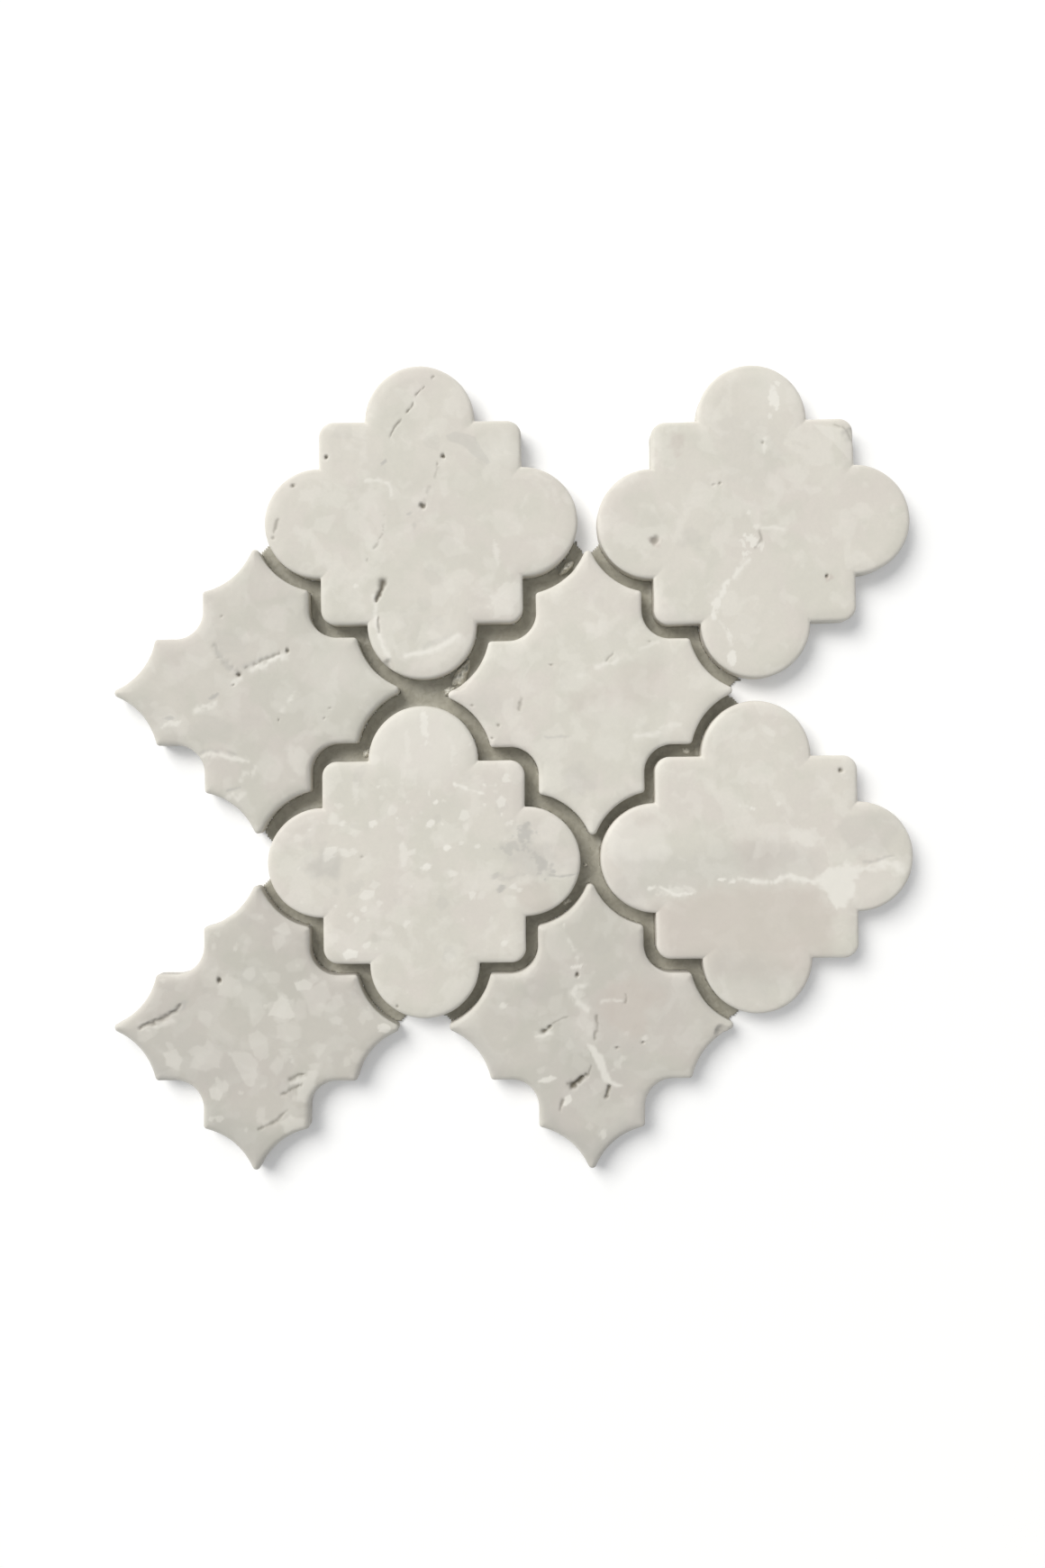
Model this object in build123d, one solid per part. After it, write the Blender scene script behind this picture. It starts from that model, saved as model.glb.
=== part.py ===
from build123d import *
import os
from math import sqrt

# A mosaic tile sheet: marble pieces in two shapes that interlock, set face up on a backing net.
# Lengths are in millimetres and turns in degrees. X runs across the sheet, Y up it, Z out of its face.

# The clover, a square with a half-round lobe in the middle of each side
SQUARE_SIDE = 77.0
LOBE_RADIUS = 20.9
CLOVER_CORNER_RADIUS = 5.8

# The lattice
JOINT = 4.8  # between a clover's outline and a star's
LOBE_GAP = 8.2  # between the lobes of two clovers that face each other

# The star's arms
SHOULDER_BEVEL = 1.2  # across each of the two corners behind an arm's tip

# The stone's section
STONE_THICKNESS = 10.0
RIM_BEVEL = 1.5  # the tumbled rim of the face
POINT_EASE = 0.2  # a tip's radius in plan, over the bevel of its rim

# The backing net, two layers of flat strands
NET_PITCH = 5.0
STRAND_WIDTH = 0.8
STRAND_THICKNESS = 0.35
NET_INSET = 3.0  # from the marble's outer edge back to the net's edge
MOUTH_INSET = 5.0  # from the mouth of an open joint back to the net's edge

HALF_SIDE = SQUARE_SIDE / 2
LOBE_SHIFT = LOBE_RADIUS + LOBE_GAP / 2  # from a star's axis to the middle of a lobe beside it
HALF_MODULE = HALF_SIDE + LOBE_SHIFT  # a module is from one piece to the next of its own shape
POINT_RADIUS = RIM_BEVEL + POINT_EASE
STONE_SEAT = 2 * STRAND_THICKNESS
LEAST_CORNER = 0.5  # a clover's corner radius after it is moved inwards
TOLERANCE = 1e-3

# Each piece's column and row, counted in half modules from the left and from the bottom,
# then its slip from that place across and up the sheet, and its turn, as set by hand.
CLOVERS = {
    "clover_top_left": (1, 3, -0.6, 0.5, 0.7),
    "clover_top_right": (3, 3, -1.5, 0.9, 1.2),
    "clover_middle_left": (1, 1, 0.6, -1.2, 0.5),
    "clover_middle_right": (3, 1, -0.2, 0.7, 0.5),
}
STARS = {
    "star_left": (0, 2, 0.5, 0.0, 0.7),
    "star_centre": (2, 2, 0.1, -0.4, 1.0),
    "star_bottom_left": (0, 0, 0.5, -0.6, -0.1),
    "star_bottom_centre": (2, 0, 0.6, 0.1, 0.4),
}


def clover_outline(growth):
    """The clover's square and lobes, with every side moved out by growth."""
    half_side = HALF_SIDE + growth
    square = Rectangle(2 * half_side, 2 * half_side)
    outline = fillet(square.vertices(), max(CLOVER_CORNER_RADIUS + growth, LEAST_CORNER))
    for x, y in ((HALF_SIDE, 0), (0, HALF_SIDE), (-HALF_SIDE, 0), (0, -HALF_SIDE)):
        outline += Pos(x, y) * Circle(LOBE_RADIUS + growth)
    return outline


def star_outline(growth):
    """What the four clovers round a star leave of its place, with its arms' tips rounded."""
    joint = JOINT - growth
    lobe = LOBE_RADIUS + joint
    reach = lobe + POINT_RADIUS
    tip_middle = HALF_MODULE - sqrt(reach**2 - LOBE_SHIFT**2)
    tip_shoulder = HALF_MODULE - (HALF_MODULE - tip_middle) * lobe / reach
    outline = Rectangle(2 * tip_shoulder, 2 * tip_shoulder)
    for x in (-HALF_MODULE, HALF_MODULE):
        for y in (-HALF_MODULE, HALF_MODULE):
            outline -= Pos(x, y) * clover_outline(joint)
    for x, y in ((tip_middle, 0), (0, tip_middle), (-tip_middle, 0), (0, -tip_middle)):
        outline += Pos(x, y) * Circle(POINT_RADIUS)
    return outline


def star_face():
    """The star's plan, with the two shoulders of each arm bevelled."""
    outline = star_outline(0)
    along = HALF_MODULE - sqrt((LOBE_RADIUS + JOINT) ** 2 - JOINT**2)
    across = LOBE_SHIFT - JOINT
    shoulders = []
    for vertex in outline.vertices():
        near, far = sorted((abs(vertex.X), abs(vertex.Y)))
        if abs(far - along) < TOLERANCE and abs(near - across) < TOLERANCE:
            shoulders.append(vertex)
    return chamfer(shoulders, SHOULDER_BEVEL)


def stone(plan):
    """A piece of marble on its plan, sawn flat behind, with the rim of its face taken off."""
    block = extrude(plan, STONE_THICKNESS)
    return chamfer(block.faces().sort_by(Axis.Z)[-1].edges(), RIM_BEVEL)


def lattice_place(column, row):
    """The middle of a place in the lattice."""
    return column * HALF_MODULE, row * HALF_MODULE


def set_stones(pieces, block):
    """One solid for each piece, slipped and turned as it was set."""
    stones = {}
    for name, (column, row, slip_x, slip_y, turn) in pieces.items():
        x, y = lattice_place(column, row)
        stones[name] = Pos(x + slip_x, y + slip_y, STONE_SEAT) * Rot(0, 0, turn) * block
    return stones


def joint_bridges(clovers, stars):
    """A square across the joint of each clover and star that are neighbours, clear of its mouths."""
    side = HALF_MODULE - 2 * MOUTH_INSET
    bridges = []
    for column, row in clovers:
        for over, up in ((-1, -1), (-1, 1), (1, -1), (1, 1)):
            if (column + over, row + up) in stars:
                middle = lattice_place(column + over / 2, row + up / 2)
                bridges.append(Pos(*middle) * Rectangle(side, side))
    return bridges


def junction_bridges(clovers, pieces):
    """A square over each place between two lobes that has a piece on all four sides."""
    side = HALF_MODULE / 2
    bridges = []
    for column, row in clovers:
        for x, y in ((column + 1, row), (column, row + 1)):
            if {(x - 1, y), (x + 1, y), (x, y - 1), (x, y + 1)} <= pieces:
                bridges.append(Pos(*lattice_place(x, y)) * Rectangle(side, side))
    return bridges


def net_outline():
    """The cut edge of the net: inside the marble's edge, and right across the joints."""
    clovers = {piece[:2] for piece in CLOVERS.values()}
    stars = {piece[:2] for piece in STARS.values()}
    outline = Sketch()
    for place in clovers:
        outline += Pos(*lattice_place(*place)) * clover_outline(-NET_INSET)
    for place in stars:
        outline += Pos(*lattice_place(*place)) * star_outline(-NET_INSET)
    outline += joint_bridges(clovers, stars)
    outline += junction_bridges(clovers, clovers | stars)
    return outline


def net_layer(outline, across, floor):
    """The strands that run up the sheet, or across it, one solid for each unbroken run."""
    box = outline.bounding_box()
    longest = box.size.X + box.size.Y
    low, high = (box.min.Y, box.max.Y) if across else (box.min.X, box.max.X)
    count = int((high - low) / NET_PITCH)
    first = (low + high - (count - 1) * NET_PITCH) / 2
    level = floor + STRAND_THICKNESS / 2
    strands = []
    for index in range(count):
        place = first + index * NET_PITCH
        if across:
            strip = Pos(box.center().X, place) * Rectangle(longest, STRAND_WIDTH)
        else:
            strip = Pos(place, box.center().Y) * Rectangle(STRAND_WIDTH, longest)
        for run in (outline & strip).faces():
            span = run.bounding_box()
            if across and span.size.X > NET_PITCH:
                strand = Box(span.size.X, STRAND_WIDTH, STRAND_THICKNESS)
                strands.append(Pos(span.center().X, place, level) * strand)
            if not across and span.size.Y > NET_PITCH:
                strand = Box(STRAND_WIDTH, span.size.Y, STRAND_THICKNESS)
                strands.append(Pos(place, span.center().Y, level) * strand)
    return strands


stones = set_stones(CLOVERS, stone(clover_outline(0))) | set_stones(STARS, stone(star_face()))
sheet_middle = Compound(list(stones.values())).bounding_box().center()
to_origin = Pos(-sheet_middle.X, -sheet_middle.Y)

net = net_outline()
net_warp = net_layer(net, across=False, floor=0)
net_weft = net_layer(net, across=True, floor=STRAND_THICKNESS)

nodes = {name: to_origin * block for name, block in stones.items()}
nodes["net_warp"] = Compound([to_origin * strand for strand in net_warp])
nodes["net_weft"] = Compound([to_origin * strand for strand in net_weft])

os.makedirs("parts", exist_ok=True)
for name, shape in nodes.items():
    export_step(shape, f"parts/{name}.step")
    print(name, len(shape.solids()), "solids", round(shape.volume, 1), "mm3")
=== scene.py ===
"""Finish of a marble mosaic sheet: tumbled clover and star pieces, set face up on a backing net.

The classes hold lengths in millimetres, and a mesh is written in metres. The sheet lies in X and Y with
its finished face up along Z. Places read off the photograph are pixels of its 1160 x 1740 frame.
"""

import logging
import math
from abc import ABC, abstractmethod
from collections.abc import Iterable, Sequence
from dataclasses import dataclass
from enum import Enum

import bpy
import numpy as np
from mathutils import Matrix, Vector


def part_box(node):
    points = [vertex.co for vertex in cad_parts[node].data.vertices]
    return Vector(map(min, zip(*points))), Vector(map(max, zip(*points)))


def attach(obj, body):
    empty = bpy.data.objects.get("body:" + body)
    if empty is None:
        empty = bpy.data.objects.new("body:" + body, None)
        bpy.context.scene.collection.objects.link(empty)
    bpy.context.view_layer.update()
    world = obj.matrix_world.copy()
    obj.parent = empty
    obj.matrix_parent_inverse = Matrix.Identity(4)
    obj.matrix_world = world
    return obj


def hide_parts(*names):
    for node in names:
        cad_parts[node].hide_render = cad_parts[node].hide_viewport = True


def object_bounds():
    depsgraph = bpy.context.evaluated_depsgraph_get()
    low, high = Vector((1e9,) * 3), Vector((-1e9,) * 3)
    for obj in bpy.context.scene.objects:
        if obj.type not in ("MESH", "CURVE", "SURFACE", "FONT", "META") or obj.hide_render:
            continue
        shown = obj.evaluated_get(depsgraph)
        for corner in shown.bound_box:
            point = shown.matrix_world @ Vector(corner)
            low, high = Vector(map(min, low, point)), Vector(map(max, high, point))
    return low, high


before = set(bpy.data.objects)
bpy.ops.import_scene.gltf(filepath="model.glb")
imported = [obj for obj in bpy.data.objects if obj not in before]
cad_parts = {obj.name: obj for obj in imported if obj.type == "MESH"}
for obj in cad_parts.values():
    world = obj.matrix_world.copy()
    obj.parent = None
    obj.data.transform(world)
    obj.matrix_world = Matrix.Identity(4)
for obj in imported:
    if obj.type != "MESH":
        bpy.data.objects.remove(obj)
CAD_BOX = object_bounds()

logging.basicConfig(level=logging.INFO, format="%(message)s")
log = logging.getLogger("mosaic")

Array = np.ndarray
Pixel = tuple[float, float]
Colour = tuple[float, float, float]
Object = bpy.types.Object
Material = bpy.types.Material
Socket = bpy.types.NodeSocket

METRES = 0.001
BODY = "root"


@dataclass(frozen=True)
class Photograph:
    """How the photograph's pixels lie over the sheet, seen from straight above.

    Fields: width and height of the frame, in pixels; the pixel that the sheet's origin falls on; and how many
    millimetres of the finished face one pixel covers.
    """

    width: int = 1160
    height: int = 1740
    origin_x: float = 570.3
    origin_y: float = 851.9
    millimetres: float = 0.3408

    def on_sheet(self, pixels: Sequence[Pixel]) -> Array:
        """Turns pixels into points of the finished face.

        Args:
            pixels: places in the photograph, x to the right and y down.

        Returns:
            Rows of x and y, in millimetres.
        """
        places = np.asarray(pixels, dtype=float).reshape(-1, 2)
        return (places - (self.origin_x, self.origin_y)) * (self.millimetres, -self.millimetres)


PHOTO = Photograph()


@dataclass(frozen=True)
class Lattice:
    """Sizes that the outlines of the two shapes share."""

    module: float = 127.0
    joint: float = 4.8
    lobe_gap: float = 8.2
    lobe_radius: float = 20.9
    corner_radius: float = 5.8
    tip_radius: float = 1.7
    shoulder_radius: float = 1.6

    @property
    def half_module(self) -> float:
        """From a star's middle to the middle of a clover beside it, along X or Y."""
        return self.module / 2

    @property
    def lobe_shift(self) -> float:
        """From a star's axis to the middle of a lobe beside it."""
        return self.lobe_gap / 2 + self.lobe_radius

    @property
    def half_side(self) -> float:
        """Half the side of the clover's square."""
        return self.half_module - self.lobe_shift


LATTICE = Lattice()


def smooth_noise(points: Array, grain: float, seed: int) -> Array:
    """A smooth random field in the plane.

    A lattice of random values one grain apart, turned so that its rows don't run along the sheet, and blended
    between its corners with the weight 6f^5 - 15f^4 + 10f^3, where f is how far a point lies across its cell.

    Args:
        points: rows of x and y.
        grain: distance between lattice values.
        seed: picks the random values.

    Returns:
        One value from -1 to 1 for each point.
    """
    cells = 64
    values = np.random.default_rng(seed).uniform(-1.0, 1.0, (cells, cells))
    turned = points @ np.array([[0.8, 0.6], [-0.6, 0.8]]) / grain
    cell = np.floor(turned).astype(int)
    share = turned - cell
    weight = share**3 * (share * (share * 6 - 15) + 10)
    low, high = cell % cells, (cell + 1) % cells
    near = values[low[:, 0], low[:, 1]] * (1 - weight[:, 0]) + values[high[:, 0], low[:, 1]] * weight[:, 0]
    far = values[low[:, 0], high[:, 1]] * (1 - weight[:, 0]) + values[high[:, 0], high[:, 1]] * weight[:, 0]
    return near * (1 - weight[:, 1]) + far * weight[:, 1]


def layered_noise(points: Array, grain: float, seed: int, layers: int = 3) -> Array:
    """Smooth noise with finer and weaker layers added, each half the grain and half the strength.

    Args:
        points: rows of x and y.
        grain: distance between the lattice values of the coarsest layer.
        seed: picks the random values of the coarsest layer.
        layers: how many layers are added together.

    Returns:
        One value for each point, mostly from -1 to 1.
    """
    total = np.zeros(len(points))
    for layer in range(layers):
        total += smooth_noise(points, grain / 2**layer, seed + 101 * layer) / 2**layer
    return total / 1.5


def smooth_step(low: float, high: float, value: Array) -> Array:
    """Rises from 0 at low to 1 at high, as 3s^2 - 2s^3 of the share s of the way between them."""
    share = np.clip((value - low) / (high - low), 0.0, 1.0)
    return share * share * (3 - 2 * share)


def along_path(points: Array, path: Array) -> tuple[Array, Array]:
    """Nearest distance from points to a path of straight runs, and where on the path it falls.

    Each point is dropped onto each run at the share of the run nearest to it, and the nearest run is kept.

    Args:
        points: rows of x and y.
        path: rows of x and y at its corners.

    Returns:
        The distance, and the length of path up to the nearest place on it, for each point.
    """
    start, run = path[:-1], np.diff(path, axis=0)
    length = np.hypot(run[:, 0], run[:, 1])
    before = np.concatenate([[0.0], np.cumsum(length)[:-1]])
    offset = points[:, None, :] - start[None, :, :]
    share = np.clip((offset * run).sum(axis=2) / np.maximum(length**2, 1e-9), 0.0, 1.0)
    gap = offset - share[:, :, None] * run
    distance = np.hypot(gap[:, :, 0], gap[:, :, 1])
    nearest = distance.argmin(axis=1)
    rows = np.arange(len(points))
    return distance[rows, nearest], before[nearest] + share[rows, nearest] * length[nearest]


def write_mesh(name: str, vertices: Array, faces: Sequence[Array]) -> Object:
    """Puts arrays into a new smooth-shaded mesh object at the origin.

    Args:
        name: the piece's name.
        vertices: rows of x, y and z, in millimetres.
        faces: arrays of vertex numbers, one row a face, each array with its own number of corners.

    Returns:
        The object, linked to the scene.
    """
    mesh = bpy.data.meshes.new(name)
    mesh.vertices.add(len(vertices))
    mesh.vertices.foreach_set("co", (vertices * METRES).astype(np.float32).ravel())
    corners = np.concatenate([block.ravel() for block in faces]).astype(np.int32)
    counts = np.concatenate([np.full(len(block), block.shape[1]) for block in faces])
    mesh.loops.add(len(corners))
    mesh.loops.foreach_set("vertex_index", corners)
    mesh.polygons.add(len(counts))
    mesh.polygons.foreach_set("loop_start", (np.cumsum(counts) - counts).astype(np.int32))
    mesh.update(calc_edges=True)
    mesh.validate()
    mesh.shade_smooth()
    piece = bpy.data.objects.new(name, mesh)
    bpy.context.scene.collection.objects.link(piece)
    return piece


def triangle_count(piece: Object) -> int:
    """How many triangles a piece's faces come to: its corners less two for each face."""
    return len(piece.data.loops) - 2 * len(piece.data.polygons)


def tube(rows: int, around: int) -> tuple[Array, Array]:
    """Numbers the points of a tube, row by row, and covers it with triangles.

    Args:
        rows: how many rings of points it has.
        around: how many points a ring has.

    Returns:
        The points' numbers, one row for each ring, and the triangles between the rings.
    """
    numbers = np.arange(rows * around).reshape(rows, around)
    after = np.roll(numbers, -1, axis=1)
    skin = np.stack([numbers[:-1], numbers[1:], after[1:], after[:-1]], axis=-1).reshape(-1, 4)
    return numbers, np.concatenate([skin[:, [0, 1, 2]], skin[:, [0, 2, 3]]])


def joined(shells: Iterable[tuple[Array, Array]]) -> tuple[Array, Array]:
    """Joins separate shells into the arrays of one mesh.

    Args:
        shells: the vertices and the faces of each shell.

    Returns:
        All the vertices, and all the faces with their numbers moved on.
    """
    vertices, faces, count = [], [], 0
    for points, skin in shells:
        vertices.append(points)
        faces.append(skin + count)
        count += len(points)
    return np.concatenate(vertices), np.concatenate(faces)


def arc(centre: Pixel, radius: float, first: float, last: float, count: int = 400) -> Array:
    """Points on a circular arc.

    Args:
        centre: the circle's middle.
        radius: its radius.
        first: angle of the first point, in radians.
        last: angle of the last point.
        count: how many points.

    Returns:
        Rows of x and y.
    """
    angle = np.linspace(first, last, count)
    return np.stack([centre[0] + radius * np.cos(angle), centre[1] + radius * np.sin(angle)], axis=1)


class Outline(ABC):
    """The plan of a piece of marble about its own middle, the same in all four quarters.

    Fields: how many rings of faces the top of such a piece has.
    """

    rings: int

    @abstractmethod
    def eighth(self) -> Array:
        """Points from the outline's end on the X axis to its middle on the diagonal, close together."""

    @abstractmethod
    def inside(self, points: Array) -> Array:
        """How far each point lies inside the outline, and less than zero outside it."""

    def slope(self, points: Array, step: float = 0.05) -> Array:
        """How fast the depth inside grows along X and Y.

        Args:
            points: rows of x and y.
            step: how far to each side the depth is read.

        Returns:
            The depth's rise over two steps, along X and along Y, for each point.
        """
        ways = (step, 0.0), (0.0, step)
        return np.stack([self.inside(points + way) - self.inside(points - way) for way in ways], axis=1)

    def ring(self, count: int) -> Array:
        """The whole outline in evenly spaced points, anticlockwise from the X axis.

        The first eighth is mirrored about the diagonal, that quarter is turned three times, and the points
        are read off at equal steps of the length.

        Args:
            count: how many points, a multiple of eight.

        Returns:
            Rows of x and y.
        """
        eighth = self.eighth()
        quarter = np.concatenate([eighth, eighth[::-1, ::-1]])
        turn = np.array([[0.0, 1.0], [-1.0, 0.0]])
        whole = np.concatenate([quarter @ np.linalg.matrix_power(turn, n) for n in range(4)])
        step = np.hypot(*np.diff(whole, axis=0, append=whole[:1]).T)
        length = np.concatenate([[0.0], np.cumsum(step)])
        closed = np.concatenate([whole, whole[:1]])
        places = np.arange(count) / count * length[-1]
        return np.stack([np.interp(places, length, closed[:, axis]) for axis in (0, 1)], axis=1)


class Clover(Outline):
    """A square with rounded corners and a half-round lobe in the middle of each side."""

    rings = 106

    def eighth(self) -> Array:
        """Goes a quarter turn round the lobe, along the side beyond it, and half way round the corner.

        Returns:
            Rows of x and y.
        """
        lattice = LATTICE
        inner = lattice.half_side - lattice.corner_radius
        lobe = arc((lattice.half_side, 0.0), lattice.lobe_radius, 0.0, math.pi / 2)
        corner = arc((inner, inner), lattice.corner_radius, 0.0, math.pi / 4)
        return np.concatenate([lobe, corner])

    def inside(self, points: Array) -> Array:
        """Takes the greatest of the depths inside the square and inside each lobe.

        Args:
            points: rows of x and y.

        Returns:
            A depth for each point.
        """
        lattice = LATTICE
        away = np.abs(points)
        over = away - (lattice.half_side - lattice.corner_radius)
        outer = np.hypot(*np.maximum(over, 0.0).T)
        square = lattice.corner_radius - outer - np.minimum(over.max(axis=1), 0.0)
        beside = np.hypot(away[:, 0] - lattice.half_side, away[:, 1])
        above = np.hypot(away[:, 0], away[:, 1] - lattice.half_side)
        return np.maximum(square, lattice.lobe_radius - np.minimum(beside, above))


class Star(Outline):
    """The place between four clovers, a joint's width from each, with its arms' tips and shoulders rounded."""

    rings = 92

    @property
    def hollow(self) -> float:
        """Radius of the hollow round a lobe."""
        return LATTICE.lobe_radius + LATTICE.joint

    @property
    def tip(self) -> Pixel:
        """Middle of a tip's round, which touches the hollows on both sides."""
        reach = self.hollow + LATTICE.tip_radius
        return LATTICE.half_module - math.sqrt(reach**2 - LATTICE.lobe_shift**2), 0.0

    @property
    def shoulder(self) -> Pixel:
        """Middle of a shoulder's round, which touches a hollow and the straight flank beyond it."""
        below, reach = LATTICE.joint + LATTICE.shoulder_radius, self.hollow + LATTICE.shoulder_radius
        return LATTICE.half_module - math.sqrt(reach**2 - below**2), LATTICE.lobe_shift - below

    @property
    def lobe(self) -> Pixel:
        """Middle of the lobe beside the arm along X."""
        return LATTICE.half_module, LATTICE.lobe_shift

    def towards_lobe(self, place: Pixel) -> tuple[float, float]:
        """The way from a place to the middle of the lobe."""
        return self.lobe[0] - place[0], self.lobe[1] - place[1]

    def eighth(self) -> Array:
        """Goes half way round the tip, along the hollow beside a lobe, the shoulder, and half the inner corner.

        Returns:
            Rows of x and y.
        """
        across, up = self.towards_lobe(self.tip)
        tip_end = math.atan2(up, across)
        across, up = self.towards_lobe(self.shoulder)
        shoulder_start = math.atan2(up, across)
        corner = LATTICE.lobe_shift + LATTICE.corner_radius
        return np.concatenate([
            arc(self.tip, LATTICE.tip_radius, 0.0, tip_end),
            arc(self.lobe, self.hollow, tip_end + math.pi, shoulder_start + math.pi),
            arc(self.shoulder, LATTICE.shoulder_radius, shoulder_start, math.pi / 2),
            arc((corner, corner), LATTICE.corner_radius + LATTICE.joint, 1.5 * math.pi, 1.25 * math.pi),
        ])

    def inside(self, points: Array) -> Array:
        """Takes the depth from the nearest clover's hollow, or from a round where the point is in its wedge.

        Args:
            points: rows of x and y.

        Returns:
            A depth for each point.
        """
        away = np.abs(points)
        far, near = away.max(axis=1), away.min(axis=1)
        depth = -Clover().inside(away - LATTICE.half_module) - LATTICE.joint
        across, up = self.towards_lobe(self.tip)
        beyond = far - self.tip[0]
        tip = LATTICE.tip_radius - np.hypot(beyond, near)
        depth = np.where(near * across < beyond * up, tip, depth)
        across, up = self.towards_lobe(self.shoulder)
        beyond, above = far - self.shoulder[0], near - self.shoulder[1]
        shoulder = LATTICE.shoulder_radius - np.hypot(beyond, above)
        return np.where((beyond > 0) & (above * across > beyond * up), shoulder, depth)


class Tint(Enum):
    """What a mark does to the stone's colour. Each value is the name of the mesh's own attribute."""

    LIGHT = "light"
    DARK = "dark"
    WARM = "warm"
    # The cool tint is both the grey of the stone's clouds and painted shade on rims that face away from the light.
    COOL_AND_SHADE = "cool_and_shade"


LIGHT, DARK, WARM, COOL_AND_SHADE = Tint


@dataclass(frozen=True)
class Mark(ABC):
    """A mark placed by the photograph, mostly natural in the stone and a few of painted shade, which lowers the
    face only where its kind says so.
    """

    name: str

    @abstractmethod
    def share(self, points: Array) -> Array:
        """How much of the mark is at each point, from 0 to 1."""

    @abstractmethod
    def tints(self, points: Array) -> dict[Tint, Array]:
        """What the mark adds to each tint at each point, from 0 to 1."""

    def depth(self, points: Array) -> Array:
        """How far the mark lowers the face at each point, in millimetres."""
        return np.zeros(len(points))


class Stain(Mark):
    """A mark that has one tint, which its kind sets with its strength."""

    tint: Tint
    strength: float

    def tints(self, points: Array) -> dict[Tint, Array]:
        """The one tint, as strong as the mark's share."""
        return {self.tint: self.strength * self.share(points)}


class Hollow(Mark):
    """A mark that goes down into the face, as deep as its kind sets."""

    sunk: float

    def depth(self, points: Array) -> Array:
        """The mark's share times its greatest depth."""
        return self.sunk * self.share(points)


@dataclass(frozen=True)
class Line(Stain):
    """A fissure or a vein that follows a path, or painted shade along a rim.

    Fields: the path in pixels; its half width; how deep it is; its tint and strength; how much of it is
    missing, from 0 to 1; how far it strays; how ragged its edges are; how much it narrows to its end; its
    seed; and the least half width that it narrows to.
    """

    path: tuple[Pixel, ...]
    half_width: float = 0.5
    sunk: float = 0.0
    tint: Tint = DARK
    strength: float = 0.8
    missing: float = 0.0
    stray: float = 0.7
    ragged: float = 0.25
    taper: float = 0.0
    seed: int = 1
    least_width: float = 0.15

    def share(self, points: Array) -> Array:
        """A bell across the path, broken along it by noise.

        Args:
            points: rows of x and y.

        Returns:
            A share for each point.
        """
        warp_grain, length_grain, edge_grain = 4.5, 2.6, 1.1
        warp = np.stack([layered_noise(points, warp_grain, self.seed + shift) for shift in (0, 7)], axis=1)
        distance, place = along_path(points + self.stray * warp, PHOTO.on_sheet(self.path))
        beside = np.stack([place, np.full(len(place), 3.7 * self.seed)], axis=1)
        width = self.half_width * (1 + 0.55 * layered_noise(beside, length_grain, self.seed + 3, 2))
        width *= 1 - self.taper * place / max(place.max(), 1e-6)
        rough = self.ragged * smooth_noise(points, edge_grain, self.seed + 13)
        whole = layered_noise(beside, length_grain, self.seed + 5, 2) + 0.9 - 1.9 * self.missing
        bell = np.exp(-(np.maximum(distance + rough, 0.0) / np.maximum(width, self.least_width)) ** 2)
        return bell * smooth_step(-0.3, 0.2, whole)

    def depth(self, points: Array) -> Array:
        """The line's share times its greatest depth, which is nothing on most veins."""
        return self.sunk * self.share(points) if self.sunk else super().depth(points)


@dataclass(frozen=True)
class Pit(Hollow):
    """A small hole where the stone's filling has fallen out.

    Fields: its place in pixels; its radius; its depth; how dark it looks; and its seed.
    """

    at: Pixel
    radius: float = 0.9
    sunk: float = 1.2
    strength: float = 0.9
    seed: int = 11

    def share(self, points: Array) -> Array:
        """1 in the hole and 0 outside, with a ragged rim.

        Args:
            points: rows of x and y.

        Returns:
            A share for each point.
        """
        offset = points - PHOTO.on_sheet([self.at])[0]
        ragged = 1 + 0.3 * smooth_noise(points, 0.9, self.seed)
        return np.exp(-((np.hypot(offset[:, 0], offset[:, 1]) / (self.radius * ragged)) ** 4))

    def tints(self, points: Array) -> dict[Tint, Array]:
        """Dark, as strong as the pit's share."""
        return {DARK: self.strength * self.share(points)}


@dataclass(frozen=True)
class Patch(Stain):
    """A cloud or fleck of another colour in the stone.

    Fields: its place in pixels; its half length and half width; its turn in degrees; its tint and strength;
    how ragged its edge is; how soft its edge is; its seed; and its edge's place, as a share of the half sizes.
    """

    at: Pixel
    half_length: float = 4.0
    half_width: float = 3.0
    turn: float = 0.0
    tint: Tint = LIGHT
    strength: float = 0.4
    ragged: float = 0.5
    soft: float = 0.35
    seed: int = 21
    edge: float = 0.85

    def share(self, points: Array) -> Array:
        """Falls from 1 in the middle to 0 past an ellipse whose edge is broken by noise.

        Args:
            points: rows of x and y.

        Returns:
            A share for each point.
        """
        offset = points - PHOTO.on_sheet([self.at])[0]
        angle = math.radians(self.turn)
        along = offset @ (math.cos(angle), math.sin(angle)) / self.half_length
        across = offset @ (-math.sin(angle), math.cos(angle)) / self.half_width
        grain = 0.8 * min(self.half_length, self.half_width)
        reach = np.hypot(along, across) + self.ragged * layered_noise(points, grain, self.seed)
        return 1 - smooth_step(self.edge - self.soft, self.edge + self.soft, reach)


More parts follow.
